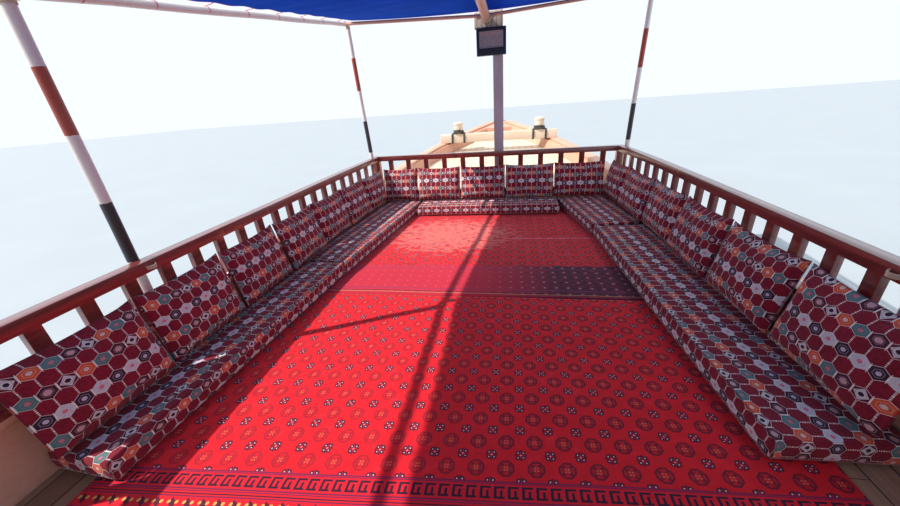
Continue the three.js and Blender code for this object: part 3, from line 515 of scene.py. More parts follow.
bar = (x > CLOTH_PITCH / 2 - BAR_HALF_WIDTH) * (y < BAR_HALF_LENGTH)
bead = (x < BEAD_HALF_WIDTH) * (reach > 1.06) * (((y / BEAD_PITCH) % 1) < 0.55)
mottle = weave.noise(weave.point(u, v), 70.0, 4.0)
pale_patches = weave.noise(weave.point(u, v), 5.0, 4.0)
weave.set(Base_Color=weave.cover(
    weave.mix((mottle * 0.7 + pale_patches * 0.3).ramp(0.36, 0.64), GROUND_SHADE, GROUND),
    (bar.over(bead), PALE),
    (reach < 1.0, motif),
    # Along the seams the cloth turns darker: partly a darker sewn hem, partly painted shade in the crease of
    # the seam.
    ((seam < SEAM_HEM_AND_SHADE) * 0.55, tint(78, 10, 28)),
    (mottle.ramp(0.52, 0.9) * 0.5, GROUND_SHADE),
))
threads = (u * (2 * math.pi / THREAD)).sine() * (v * (2 * math.pi / THREAD)).sine()
weave.relief(threads * 0.25 + mottle * 0.8 + (reach < 1.0) * 0.5, 0.0012)

# %% [markdown]
# ## Carpets
#
# Two machine-made rugs meet halfway along the deck. Both have a red field with rows of octagon medallions
# and, between them, small dark four-lobed flowers. The after rug ends in bands of hooks and leaves that
# run a little askew. The forward one starts with a dark mottled band, which is painted red towards port, as
# it looks in sunlight. A blotchy pale pink patch is painted over the rug's sunlit part.

# %% Rug motifs
RUG_PITCH = 0.146
GUL_RADIUS, GUL_HOLE = 0.042, 0.76
FLOWER_LOBE = 0.0135
FIELD_REDS = tint(200, 8, 24), tint(238, 16, 36)
NAVY, PURPLE, CLEAR_RED = tint(20, 14, 44), tint(100, 26, 74), tint(238, 18, 40)


def disc(x, y, x0, y0, radius):
    """1 inside a circle."""
    return ((x - x0) * (x - x0) + (y - y0) * (y - y0)) < radius * radius


def rug_field(rug, x, y):
    """Red field with medallions on a square lattice, and dark flowers at the middles of its squares. The
    medallions are painted fainter towards port, where the sun falls, as painted sunlight that washes them
    out. Its pile is fine tufts, with slow streaks of tone, and pale streaks laid over them as a painted sheen
    of the pile."""
    tufts = rug.noise(rug.point(x * 30, y * 12), 14.0, 4.0, 0.7)
    pile_streaks_and_sheen = rug.noise(rug.point(x * 2.2 + y * 1.1, y * 3.4 - x * 1.6), 3.2, 6.0, 0.62)
    worn = tufts.ramp(0.24, 0.56) * 0.4 + 0.6
    # Painted light: medallion colours are weakened towards port, where the sun falls on the rug.
    unwashed_by_painted_sun = x.ramp(-0.35, 0.25) * 0.5 + 0.5
    mx, my = abs(tile(x, RUG_PITCH)[1]), abs(tile(y, RUG_PITCH)[1])
    octagon = mx.over(my).over((mx + my) * 0.72)
    arms = (abs(mx - my) < 0.0026) * between(octagon, 0.005, 0.016)
    fx, fy = abs(tile(x, RUG_PITCH, RUG_PITCH / 2)[1]), abs(tile(y, RUG_PITCH, RUG_PITCH / 2)[1])
    lobes = disc(fx, fy, FLOWER_LOBE, FLOWER_LOBE, 0.0120)
    lobes = lobes.over(disc(fx, fy, 0.025, 0.0, 0.0055)).over(disc(fx, fy, 0.0, 0.025, 0.0055))
    field = rug.cover(
        rug.mix((tufts * 0.6 + pile_streaks_and_sheen * 0.4).ramp(0.34, 0.62), *FIELD_REDS),
        # Pale pink streaks: a painted sheen of the pile in light.
        (pile_streaks_and_sheen.ramp(0.58, 0.74) * 0.24, tint(246, 70, 80)),
        (between(octagon, GUL_RADIUS * GUL_HOLE, GUL_RADIUS) * worn * unwashed_by_painted_sun * 0.9, tint(74, 14, 38)),
        ((octagon < GUL_RADIUS * GUL_HOLE) * unwashed_by_painted_sun * 0.34, tint(160, 24, 36)),
        (disc(mx, my, 0.0165, 0.0165, 0.0085) * worn * unwashed_by_painted_sun * 0.8, tint(76, 14, 40)),
        (arms * worn * 0.8, tint(232, 150, 96)),
        (disc(mx, my, 0.023, 0.006, 0.0052) * worn * 0.7, tint(104, 40, 66)),
        (lobes * worn * 0.96, tint(24, 14, 44)),
        (disc(fx, fy, 0.0130, 0.0130, 0.0036) * 0.9, tint(222, 206, 216)),
        (disc(fx, fy, 0.0, 0.0, 0.0040), tint(232, 150, 150)),
    )
    return field, tufts


def stripe_lines(rug, colour, y, rows):
    """Thin lines across the rug. Columns of rows: place, half width, colour."""
    return rug.cover(colour, *[(abs(y - place) < half, line) for place, half, line in rows])


# %% After rug
BORDER_Y = -1.232
HOOK_ROW_Y, LEAF_ROW_Y, CURL_ROW_Y = BORDER_Y - 0.052, BORDER_Y - 0.163, BORDER_Y - 0.262
HOOK_PITCH, LEAF_PITCH, DOT_PITCH, CURL_PITCH = 0.064, 0.080, 0.040, 0.150
SKEW, SKEW_FROM_Y, SKEW_LENGTH = 0.0767, 0.2, 1.4
# Columns: distance behind the border's edge, half width, colour
BORDER_LINES = [
    (0.004, 0.003, PURPLE), (0.012, 0.002, PURPLE), (0.094, 0.003, PURPLE), (0.104, 0.002, PURPLE),
    (0.118, 0.0025, NAVY), (0.130, 0.0025, PURPLE), (0.200, 0.003, PURPLE), (0.330, 0.005, NAVY),
]
after_rug = Finish("after rug", "carpet", Roughness=0.95, Sheen_Weight=0.05, Sheen_Roughness=0.5)
x, y, z = after_rug.place()
skew = y - x * (SKEW * (SKEW_FROM_Y - y).ramp(0.0, SKEW_LENGTH))
field, pile = rug_field(after_rug, x, skew)
hx, hy = tile(x, HOOK_PITCH)[1], skew - HOOK_ROW_Y
hook = (between(abs(hy), 0.018, 0.028) * (hx > -0.014)).over((abs(hx + 0.011) < 0.0065) * (abs(hy) < 0.028))
hook = hook.over((abs(hx - 0.017) < 0.006) * between(hy, -0.024, 0.010))
lx, ly = tile(x, LEAF_PITCH)[1], skew - LEAF_ROW_Y
leaf = (abs(lx + ly * 0.6) / 0.022 + abs(ly) / 0.026) < 1
dot = disc(tile(x, DOT_PITCH, DOT_PITCH / 2)[1], ly, 0.0, 0.004, 0.0085)
cx, cy = tile(x, CURL_PITCH)[1], skew - CURL_ROW_Y
curl = between((cx * cx + cy * cy).math("SQRT"), 0.034, 0.046) * ((cx + cy) > -0.02)
border = after_rug.cover(
    after_rug.mix(pile.ramp(0.3, 0.7), tint(200, 14, 36), CLEAR_RED),
    (hook * 0.97, NAVY),
    (leaf * 0.85, NAVY),
    (dot, tint(226, 170, 84)),
    (curl, tint(222, 204, 176)),
    (disc(cx, cy, 0.0, 0.0, 0.018), NAVY),
)
border = stripe_lines(after_rug, border, BORDER_Y - skew, BORDER_LINES)
after_rug.set(Base_Color=after_rug.mix(skew < BORDER_Y, field, border))
after_rug.relief(pile, 0.002, 0.5)

# %% Forward rug
SEAM_Y = 0.455
BAND_DEPTH, BAND_PITCH = 0.76, 0.105
PALE_PATCH_X, PALE_PATCH_Y = -0.5, 2.05
PALE_LINE_Y, PALE_LINE_FROM_X = 1.893, 0.22
LILAC = tint(120, 50, 100)
fore_rug = Finish("forward rug", "carpet", Roughness=0.92, Sheen_Weight=0.08, Sheen_Roughness=0.5)
x, y, z = fore_rug.place()
field, pile = rug_field(fore_rug, x, y)
blotch = fore_rug.noise(fore_rug.point(x * 1.6, y * 2.6), 5.0, 6.0, 0.65)
flecks = fore_rug.noise(fore_rug.point(x, y * 2.0), 22.0, 4.0, 0.7)
# Over the rug's sunlit part a blotchy oval is painted pale pink.
across, ahead = x - PALE_PATCH_X, y - PALE_PATCH_Y
pale_patches = 1 - across * across / 0.85 - ahead * ahead / 0.42 + (blotch - 0.5) * 6.0
fx, fy = abs(tile(x, BAND_PITCH)[1]), abs(tile(y, BAND_PITCH)[1])
gx = abs(tile(x, BAND_PITCH, BAND_PITCH / 2)[1])
band = fore_rug.cover(
    fore_rug.mix(pile.ramp(0.25, 0.75), tint(56, 6, 30), tint(100, 12, 46)),
    (blotch.ramp(0.50, 0.58) * 0.6, tint(64, 6, 36)),
    (flecks.ramp(0.54, 0.62) * 0.6, tint(178, 24, 70)),
    (disc(fx, fy, 0.011, 0.011, 0.007) * 0.7, tint(190, 60, 96)),
    (disc(fx, fy, 0.0, 0.0, 0.006), tint(214, 200, 220)),
    ((gx + fy) < 0.020, tint(40, 12, 44)),
    # Painted light: towards port, where the sun falls, the dark band is painted red, its look in sunlight,
    # not its own dark dyes.
    ((0.75 - x).ramp(0.0, 0.7) * 0.8, fore_rug.mix(pile.ramp(0.3, 0.7), tint(208, 8, 34), tint(220, 40, 70))),
)
field = fore_rug.cover(
    field,
    (pale_patches.ramp(0.1, 0.5) * 0.66, tint(236, 128, 116)),
    (blotch.ramp(0.54, 0.60) * 0.5, tint(150, 10, 34)),
    (y + blotch * 0.24 < SEAM_Y + BAND_DEPTH, band),
)
field = stripe_lines(fore_rug, field, y, [
    (SEAM_Y + 0.030, 0.006, tint(170, 24, 44)), (SEAM_Y + 0.052, 0.003, tint(206, 150, 96)),
    (SEAM_Y + 0.075, 0.005, tint(46, 14, 40)), (SEAM_Y + 0.125, 0.004, LILAC),
    (SEAM_Y + 0.560, 0.004, LILAC),
])
pale_line = (abs(y - PALE_LINE_Y) < 0.007) * (x > PALE_LINE_FROM_X)
fore_rug.set(Base_Color=fore_rug.mix(pale_line * 0.85, field, tint(240, 150, 160)))
fore_rug.relief(pile + blotch, 0.002, 0.5)

# %% [markdown]
# ## The small rest
#
# Blue awning cloth, black lamp housing, glass, bronze and enamelled iron each get a short recipe. Fabric
# that the sun shines on from above glows a little on its underside, so the awning mixes in some
# translucency.

# %% Cloth, metal, glass
CANVAS_WIDTH, CANVAS_SEAM_HALF, HEM = 1.42, 0.009, 0.012
GLOW_SHARE = 0.38
canopy = Finish("awning cloth", "awning_cloth", Roughness=0.95, Specular_IOR_Level=0.1)
u, v, edge = canopy.along("cloth")
fibre = canopy.noise(canopy.point(u * 4, v * 40), 12.0, 4.0)
soil = canopy.noise(canopy.point(u, v), 1.8, 5.0)
panel = abs(tile(v, CANVAS_WIDTH)[1]) > CANVAS_WIDTH / 2 - CANVAS_SEAM_HALF
blue = canopy.cover(
    canopy.mix((soil * 0.7 + fibre * 0.3).ramp(0.3, 0.7), tint(12, 84, 188), tint(24, 104, 216)),
    (panel * 0.4, tint(8, 46, 128)),
    (edge < HEM, tint(222, 120, 140)),
)
canopy.set(Base_Color=blue)
canopy.relief(fibre * 0.4 - panel * 1.5, 0.001)
glow = canopy.tree.nodes.new("ShaderNodeBsdfTranslucent")
canopy.feed(glow.inputs["Color"], blue)
blend = canopy.tree.nodes.new("ShaderNodeMixShader")
blend.inputs[0].default_value = GLOW_SHARE
sink = canopy.tree.nodes["Material Output"].inputs["Surface"]
canopy.tree.links.new(canopy.shader.outputs[0], blend.inputs[1])
canopy.tree.links.new(glow.outputs[0], blend.inputs[2])
canopy.tree.links.new(blend.outputs[0], sink)


def simple(name, slot, low, high, scale, rough, bump=0.0004, **uniform):
    """Two close tones mixed by noise, for metal and rope."""
    made = Finish(name, slot, **uniform)
    cloud = made.noise(made.point(*made.place()), scale, 5.0, 0.6)
    made.set(Base_Color=made.mix(cloud.ramp(0.3, 0.7), low, high), Roughness=cloud * 0.25 + rough)
    made.relief(cloud, bump)
    return made


lamp_black = simple("lamp housing", "black_metal", tint(28, 34, 50), tint(44, 52, 68), 60, 0.35, Metallic=0.3)
lamp_glass = simple("lamp glass", "lamp_glass", tint(150, 142, 140), tint(176, 168, 164), 40, 0.10)
bronze = simple("bronze", "bronze", tint(150, 104, 48), tint(206, 158, 84), 24, 0.22, Metallic=1.0)
iron = simple("enamelled iron", "engine_iron", tint(62, 74, 82), tint(88, 102, 110), 20, 0.4)
pale_rope = simple("pale lashing", "pole_paint", tint(196, 176, 150), tint(228, 212, 188), 300, 0.7, 0.0012)
dark_rope = simple("tarred lashing", "cream_paint", tint(44, 46, 44), tint(92, 92, 84), 300, 0.7, 0.0012)
pink_tape = simple("pink tape", "awning_cloth", tint(206, 92, 120), tint(232, 148, 168), 120, 0.7)
floor_tone = simple("pale floor", "cream_paint", tint(158, 166, 172), tint(163, 171, 177), 0.4, 0.6)
floor_mesh.materials.append(floor_tone.material)
print("finishes", len(bpy.data.materials))

# %% [markdown]
# ## Lines of the boat
#
# Finer pieces have to lie on the solids they dress, so they start from the same hull lines: the height of
# the sheer, its half breadth, and how full each section is. They are the same formulas in metres, worked
# out for whole arrays of points at once.

# %% Lines of the boat
KEEL_Z, STEM_FOOT_Y, STEM_HEAD_Y = -1.05, 5.05, 8.3
POST_FOOT_Y, TRANSOM_TOP_Y = -6.5, -7.7
SHEER_MID_Z, BOW_RISE, STERN_RISE = 1.53, 0.72, 0.25
BOW_RISE_FROM_Y, STERN_RISE_FROM_Y, SHEER_POWER = 3.3, -4.5, 1.6
HALF_BEAM, BEAM_Y, TRANSOM_HALF, POST_HALF = 2.23, -1.5, 1.56, 0.08
BOW_POWER, STERN_POWER = 4.6, 2.3
FRONT_Y = 3.5
RAIL_TOP_Z, RAIL_RISE, RAIL_W, RAIL_IN = 1.988, 0.05, 0.09, 0.08
CAP_T = 0.045
STATIONS = 30


def smooth(t):
    """0 below 0, 1 above 1, and level at both ends of the way between."""
    t = np.clip(t, 0, 1)
    return t * t * (3 - 2 * t)


def sheer_z(y):
    """Height of the sheer: level amidships, rising as the 1.6th power of distance at both ends."""
    bow = np.clip((y - BOW_RISE_FROM_Y) / (STEM_HEAD_Y - BOW_RISE_FROM_Y), 0, 1)
    stern = np.clip((STERN_RISE_FROM_Y - y) / (STERN_RISE_FROM_Y - TRANSOM_TOP_Y), 0, 1)
    return SHEER_MID_Z + BOW_RISE * bow ** SHEER_POWER + STERN_RISE * stern ** SHEER_POWER


def sheer_half(y):
    """Half breadth at the sheer: full beam at BEAM_Y, nothing at the stem, and the transom's half aft."""
    ahead = HALF_BEAM * (1 - np.clip((y - BEAM_Y) / (STEM_HEAD_Y - BEAM_Y), 0, 1) ** BOW_POWER)
    aft_share = np.clip((BEAM_Y - y) / (BEAM_Y - TRANSOM_TOP_Y), 0, 1)
    astern = HALF_BEAM - (HALF_BEAM - TRANSOM_HALF) * aft_share ** STERN_POWER
    return np.where(y > BEAM_Y, ahead, astern)


def hull_points(s, u):
    """Outer hull at station share s and height share u: half breadth is a power of height whose
    roundness changes from stern to bow, and the stations lean with stem and sternpost."""
    at = TRANSOM_TOP_Y + s * (STEM_HEAD_Y - TRANSOM_TOP_Y)
    half = np.maximum(0, sheer_half(at) - POST_HALF)
    z = KEEL_Z + (sheer_z(at) - KEEL_Z) * u
    bow, stern = smooth((s - 0.5) / 0.5), smooth((0.42 - s) / 0.42)
    power, root = 3.6 - 2.25 * bow - 0.6 * stern, 0.8 + 0.35 * bow + 3.7 * stern
    full = (1 - (1 - np.clip(u, 0, 1)) ** power) ** root
    stem = STEM_FOOT_Y + (STEM_HEAD_Y - STEM_FOOT_Y) * (z - KEEL_Z) / (sheer_z(STEM_HEAD_Y) - KEEL_Z)
    post = POST_FOOT_Y + (TRANSOM_TOP_Y - POST_FOOT_Y) * (z - KEEL_Z) / (sheer_z(TRANSOM_TOP_Y) - KEEL_Z)
    return POST_HALF + half * full, post + (stem - post) * s, z


station_x, station_y, station_z = hull_points(np.linspace(0, 1, STATIONS + 1), np.ones(STATIONS + 1))


def gunwale_half(y):
    return np.interp(y, station_y, station_x)


def gunwale_z(y):
    return np.interp(y, station_y, station_z)


def rail_top(y):
    """Height of the rails: level aft, climbing as the 1.5th power of distance towards the bow."""
    return RAIL_TOP_Z + RAIL_RISE * np.clip(y / FRONT_Y, 0, None) ** 1.5


print("beam", round(float(2 * gunwale_half(BEAM_Y)), 3), "bow height", round(float(station_z[-1]), 3))

# %% [markdown]
# ## Making surfaces
#
# Every new piece is a grid of points computed with numpy. `quads` numbers the faces of a grid, `Build`
# collects the parts of one piece, and `Build.finish` puts them into a mesh, gives it a finish, and lets it
# ride on its body. Its `barrel` joins rings and closes both ends. Poles, ropes and pipes are barrels whose
# rings run along a path, and turned pieces are barrels whose rings lie round an axis.


# %% Grids and builds
def quads(rows, columns, close_rows=False, close_columns=False):
    """Faces of a grid of points, rows by columns, as an array of four point numbers each."""
    i = np.arange(rows if close_rows else rows - 1)[:, None]
    j = np.arange(columns if close_columns else columns - 1)[None, :]
    i2, j2 = (i + 1) % rows, (j + 1) % columns
    corners = np.broadcast_arrays(i * columns + j, i2 * columns + j, i2 * columns + j2, i * columns + j2)
    return np.stack(corners, -1).reshape(-1, 4)


class Build:
    """The points and faces of one piece, and values stored at its points."""

    def __init__(self):
        self.points, self.faces, self.stored, self.count = [], [], [], 0

    def add(self, points, faces, stored=None):
        points = np.asarray(points, float).reshape(-1, 3)
        self.points.append(points)
        self.faces += [[int(k) + self.count for k in face] for face in faces]
        stored = np.zeros_like(points) if stored is None else np.asarray(stored, float).reshape(-1, 3)
        self.stored.append(stored)
        self.count += len(points)
        return self

    def grid(self, points, stored=None, **closed):
        return self.add(points, quads(*points.shape[:2], **closed), stored)

    def barrel(self, rings, stored=None):
        """Rings joined one to the next, with a face across each end."""
        rows, columns = rings.shape[:2]
        ends = [list(range(columns)), list(range((rows - 1) * columns, rows * columns))]
        return self.add(rings, quads(rows, columns, close_columns=True).tolist() + ends, stored)

    def finish(self, name, finish, attribute=None, body="hull", nodes=(), smooth_faces=True):
        mesh = bpy.data.meshes.new(name)
        mesh.from_pydata(np.vstack(self.points).tolist(), [], self.faces)
        if attribute:
            layer = mesh.attributes.new(attribute, "FLOAT_VECTOR", "POINT")
            layer.data.foreach_set("vector", np.vstack(self.stored).astype(np.float32).ravel())
        work = bmesh.new()
        work.from_mesh(mesh)
        bmesh.ops.recalc_face_normals(work, faces=work.faces)
        work.to_mesh(mesh)
        work.free()
        return placed(name, mesh, finish, body, nodes, smooth_faces)


def placed(name, mesh, finish, body, nodes, smooth_faces=True):
    """A mesh made into a piece: it gets its finish, rides on its body and takes the place of its nodes."""
    mesh.materials.clear()
    mesh.materials.append(finish.material)
    mesh.polygons.foreach_set("material_index", [0] * len(mesh.polygons))
    mesh.polygons.foreach_set("use_smooth", [smooth_faces] * len(mesh.polygons))
    piece = bpy.data.objects.new(name, mesh)
    bpy.context.collection.objects.link(piece)
    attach(piece, body)
    if nodes:
        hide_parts(*nodes)
    return piece


# %% Tubes, turned pieces, ropes and boxes
def square_to(axis, guide):
    """The axis as a unit vector, and two more square to it. guide is any other direction."""
    axis = np.asarray(axis, float) / np.linalg.norm(axis)
    side = np.cross(axis, guide)
    side /= np.linalg.norm(side)
    return axis, side, np.cross(axis, side)


def circle(count):
    return np.linspace(0, 2 * math.pi, count, endpoint=False)


def add_tube(build, path, radius, sides):
    """Rings around a path, square to its direction. radius is one number or one for each point."""
    path = np.asarray(path, float)
    heading = np.gradient(path, axis=0)
    heading /= np.linalg.norm(heading, axis=1, keepdims=True)
    upright = abs(heading[:, 2]).mean() >= 0.7
    side = np.cross(heading, (0.9, 0.4, 0.1) if upright else (0.41, 0.23, 0.88))
    side /= np.linalg.norm(side, axis=1, keepdims=True)
    other = np.cross(heading, side)
    angle = circle(sides)[None, :, None]
    radius = np.broadcast_to(np.asarray(radius, float), (len(path),))[:, None, None]
    ring = np.cos(angle) * side[:, None] + np.sin(angle) * other[:, None]
    return build.barrel(path[:, None] + radius * ring)


def straight(a, b, count):
    """Points on a line."""
    t = np.linspace(0, 1, count)[:, None]
    return np.asarray(a, float) * (1 - t) + np.asarray(b, float) * t


def turned(build, profile, foot, sides, axis=(0, 0, 1)):
    """A profile of radius and height spun about an axis through foot: a surface of revolution."""
    radius, height = np.array(profile, float).T[:, :, None, None]
    axis, side, other = square_to(axis, (0.3, 0.9, 0.2))
    angle = circle(sides)[None, :, None]
    return build.barrel(
        np.asarray(foot, float) + height * axis + radius * (np.cos(angle) * side + np.sin(angle) * other)
    )


def lashing(build, centre, axis, radius, width, rope=0.005):
    """Rope wound round a bar: a helix whose pitch is one rope, with its rope as a tube."""
    axis, side, other = square_to(axis, (0.37, 0.85, 0.37))
    turns = width / (2 * rope)
    t = np.linspace(0, 1, int(turns * 14) + 2)[:, None]
    angle = 2 * math.pi * turns * t
    around = np.cos(angle) * side + np.sin(angle) * other
    path = np.asarray(centre, float) + axis * (t - 0.5) * width + (radius + rope * 0.8) * around
    return add_tube(build, path, rope, 6)


def hoop(build, centre, radius, thick, section):
    """A ring about the y axis: a circle of sections. Both angles close, so it needs no ends."""
    axis, side, other = square_to((0, 1, 0), (0.3, 0.2, 0.9))
    a, b = circle(72)[:, None, None], circle(section)[None, :, None]
    out = np.cos(a) * side + np.sin(a) * other
    points = np.asarray(centre, float) + out * (radius + thick * np.cos(b)) + axis * thick * np.sin(b)
    return build.grid(points, close_rows=True, close_columns=True)


def beveled_box(build, low, high, width):
    """A box whose twelve edges are cut back by a width, in two steps."""
    low, high = np.asarray(low, float), np.asarray(high, float)
    work = bmesh.new()
    for corner in range(8):
        work.verts.new([(low, high)[(corner >> k) & 1][k] for k in range(3)])
    work.verts.ensure_lookup_table()
    bmesh.ops.convex_hull(work, input=work.verts)
    bmesh.ops.dissolve_limit(work, angle_limit=0.01, verts=work.verts, edges=work.edges)
    offset = min(width, (high - low).min() * 0.3)
    bmesh.ops.bevel(work, geom=list(work.edges), offset=offset, segments=2, affect="EDGES", profile=0.6)
    work.verts.index_update()
    build.add([v.co[:] for v in work.verts], [[v.index for v in f.verts] for f in work.faces])
    work.free()
    return build


# %% [markdown]
# ## Timber with eased edges
#
# No joiner leaves a rail with a knife edge: it catches light because its corners are rounded off. The
# plain solids already have the right form, so a merged copy of each gets a narrow bevel and takes the
# place of the solid.


# %% Timber with eased edges
def eased(name, node, finish, width, body="hull"):
    """A copy of a solid, with doubled points merged, flat faces joined and edges rounded."""
    work = bmesh.new()
    work.from_mesh(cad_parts[node].data)
    bmesh.ops.remove_doubles(work, verts=work.verts, dist=2e-5)
    bmesh.ops.dissolve_limit(work, angle_limit=math.radians(0.6), verts=work.verts, edges=work.edges)
    mesh = bpy.data.meshes.new(name)
    work.to_mesh(mesh)
    work.free()
    piece = placed(name, mesh, finish, body, [node])
    bevel = piece.modifiers.new("eased", "BEVEL")
    bevel.width, bevel.segments, bevel.limit_method = width, 2, "ANGLE"
    bevel.angle_limit = math.radians(32)
    bevel.harden_normals = True
    bevel.use_clamp_overlap = True


for name, node, finish, width in [
    ("port_rail", "rail_port", varnish, 0.008),
    ("starboard_rail", "rail_starboard", varnish, 0.008),
    ("forward_rail", "rail_front", varnish, 0.008),
    ("stern_rail", "rail_stern", varnish, 0.008),
    ("port_cap", "gunwale_cap_port", peach, 0.008),
    ("starboard_cap", "gunwale_cap_starboard", peach, 0.008),
    ("beam_timber", "mooring_beam", cream, 0.012),
    ("square_post", "mast", post_paint, 0.010),
    ("engine_case", "engine_box", peach, 0.006),
    ("helm_stand", "helm_pedestal", peach, 0.006),
    ("bench", "helm_bench", varnish, 0.006),
    ("lamp_case", "floodlight", lamp_black, 0.005),
]:
    eased(name, node, finish, width)
eased("case_lid", "engine_lid", varnish, 0.008, body="engine_lid")
eased("rudder_timber", "rudder", keel_oil, 0.008, body="rudder")
for node, finish in {
    "hull": hull_paint, "bulwark_port": hull_paint, "bulwark_starboard": hull_paint, "keel": keel_oil,
    "stem": keel_oil, "sternpost": keel_oil, "wale_port": keel_oil, "wale_starboard": keel_oil,
    "seating_deck": deck_oil, "stern_deck": deck_oil, "foredeck": deck_cream,
}.items():
    dress(node, finish)

# %% [markdown]
# ## Planked skin
#
# The hull's outside is a grid on the hull lines, 20 strakes deep. Each point stores how far along it is
# and which strake it lies on, and each strake stands a few millimetres proud at its lower edge, as planks
# do once they have dried. Near the stem the lines are hollow, and the skin stands further out there to
# clear the straight facets of the solid. Aft it ends above the screw's window, where the deadwood stays
# bare. A thin wall under it closes the sheet.

# %% Planked skin
STRAKES = 20
SKIN_PROUD, LAP = 0.006, 0.0025
SKIN_UNDER = 0.004
BOW_PROUD, BOW_FROM_Y, BOW_FULL_Y = 0.024, 6.5, 7.1
SCREW_WINDOW_TOP, WINDOW_FROM_Y, WINDOW_FULL_Y = 0.36, -4.9, -5.6


def skin_side(side):
    """One side of the hull: the hull lines moved out along their normals, with a small step per strake.
    The height share starts at 0, and aft at SCREW_WINDOW_TOP. Gives closed loops and their stored values."""
    share = np.linspace(0, 1, 4 * STRAKES + 1) ** 1.15
    s, u = np.meshgrid(np.linspace(0.002, 1, 181), share, indexing="ij")
    station = hull_points(s, SCREW_WINDOW_TOP)[1]
    bare = SCREW_WINDOW_TOP * smooth((station - WINDOW_FROM_Y) / (WINDOW_FULL_Y - WINDOW_FROM_Y))
    u = bare + (1 - bare) * u
    x, y, z = hull_points(s, u)
    surface = np.stack([x, y, z], -1)
    normal = np.cross(np.gradient(surface, axis=0), np.gradient(surface, axis=1))
    normal /= np.linalg.norm(normal, axis=2, keepdims=True) + 1e-12
    normal *= np.sign(normal[..., :1].mean())
    strake = u * STRAKES
    proud = SKIN_PROUD + LAP * (1 - (strake % 1))
    proud = proud + BOW_PROUD * np.clip((y - BOW_FROM_Y) / (BOW_FULL_Y - BOW_FROM_Y), 0, 1)
    outer = surface + normal * proud[..., None]
    inner = surface - normal * SKIN_UNDER
    stored = np.stack([y, strake * STRAKE_WIDTH, z], -1)
    loops = np.concatenate([outer, inner[:, ::-1]], axis=1) * np.array([side, 1, 1])
    return loops, np.concatenate([stored, stored[:, ::-1]], axis=1)


for name, side in (("port_strakes", -1), ("starboard_strakes", 1)):
    planks = Build().barrel(*skin_side(side)).finish(name, hull_oil, attribute="strake")
    print(name, len(planks.data.vertices))

# %% [markdown]
# ## Poles, ridge and lashings
#
# The awning hangs on round poles: three on each side, a side pole along each edge, a thick ridge pole and
# rafters between them. A round pole could be a stock cylinder, but a real one is a tree trunk or a pipe
# that has been painted many times, so each is a ring carried along a path with a slight wander in it.
# Where two poles cross, rope is wound round both: a helix with a rope for its section.

# %% Awning frame sizes
AWNING_FRONT_Y, AWNING_AFT_Y = 3.53, -4.98
POLE_R, SIDE_POLE_R, RIDGE_R, RAFTER_R = 0.033, 0.028, 0.058, 0.022
RIDGE_X, RIDGE_Z, RIDGE_FRONT_Y = -0.04, 3.87, 3.602
POLE_Y = np.array([-4.9, MIDDLE_POLE_Y, FORWARD_POLE_Y])
POLE_TOP_X = np.array([2.11, 2.185, 2.11])
EDGE_Y = np.array([AWNING_AFT_Y, MIDDLE_POLE_Y, AWNING_FRONT_Y])
EDGE_Z = np.array([3.45, 3.52, 4.03])
RAFTER_Y = (3.44, -0.47, -4.82)
EDGE_OVER_POLE = 0.018
CHOCK = ((-0.215, 3.592, 3.75), (0.194, 3.6737, 3.955))
POLE_STEPS, POLE_TAPER = 26, 0.06
STRAP_HALF_X, STRAP_HALF_Y, STRAP_PITCH, STRAP_R = 0.101, 0.040, 0.007, 0.0030


def awning_edge_z(y):
    """Height of the cloth's side edge: straight between the poles."""
    return np.interp(y, EDGE_Y, EDGE_Z)


def side_pole_x(y):
    return np.interp(y, POLE_Y, POLE_TOP_X)


def side_pole_z(y):
    return awning_edge_z(y) - EDGE_OVER_POLE - SIDE_POLE_R


def side_pole(sign, y):
    """A point of a side pole's axis, at port for sign -1."""
    return np.array([sign * float(side_pole_x(y)), y, float(side_pole_z(y))])


def crooked(a, b, count, wander, phase):
    """A line from a to b with a slow wander: two sines that vanish at its ends."""
    path = straight(a, b, count)
    t = np.linspace(0, 1, count)
    path[:, 0] += wander * np.sin(math.pi * t) * np.sin(5.1 * t + phase)
    path[:, 1] += wander * np.sin(math.pi * t) * np.sin(3.7 * t + 2 * phase) * 0.6
    return path


# %% Poles, ridge and rafters
for side, sign in (("port", -1), ("starboard", 1)):
    build, ties = Build(), Build()
    for i, (y, top) in enumerate(zip(POLE_Y, POLE_TOP_X)):
        foot_x = float(gunwale_half(y)) - RAIL_IN + POLE_R + 0.004
        foot = (sign * foot_x, y, float(gunwale_z(y)) + CAP_T + 0.004)
        head = (sign * (top - 0.006), y, float(side_pole_z(y)))
        taper = POLE_R * (1 - POLE_TAPER * np.linspace(0, 1, POLE_STEPS))
        add_tube(build, crooked(foot, head, POLE_STEPS, 0.003, i + sign), taper, 24)
        lashing(ties, np.array(head) + (0, 0, -0.050), (0, 0, 1), POLE_R - 0.001, 0.024, rope=0.003)
        # The pole is lashed to the rail, through the gap beside a baluster
        strap = np.array([sign * (foot_x - 0.060), y, float(rail_top(y)) - 0.04])
        t = np.linspace(0, 2 * math.pi, 40)
        for k in range(4):
            rise = STRAP_PITCH * (k - 1.5) + 0.003 * np.sin(t)
            wound = np.stack([STRAP_HALF_X * np.cos(t), (STRAP_HALF_Y + 0.001 * k) * np.sin(t), rise], -1)
            add_tube(ties, strap + wound, STRAP_R, 6)
    rows = np.concatenate([
        np.linspace(AWNING_AFT_Y + 0.03, MIDDLE_POLE_Y, 18)[:-1],
        np.linspace(MIDDLE_POLE_Y, AWNING_FRONT_Y - 0.02, 16),
    ])
    path = np.stack([sign * side_pole_x(rows), rows, side_pole_z(rows)], -1)
    path[:, 2] -= 0.006 * np.abs(np.sin(2.1 * rows))
    add_tube(build, path, SIDE_POLE_R, 20)
    build.finish(f"{side}_poles", bands, nodes=[f"awning_poles_{side}"])
    ties.finish(f"{side}_lashings", pale_rope)

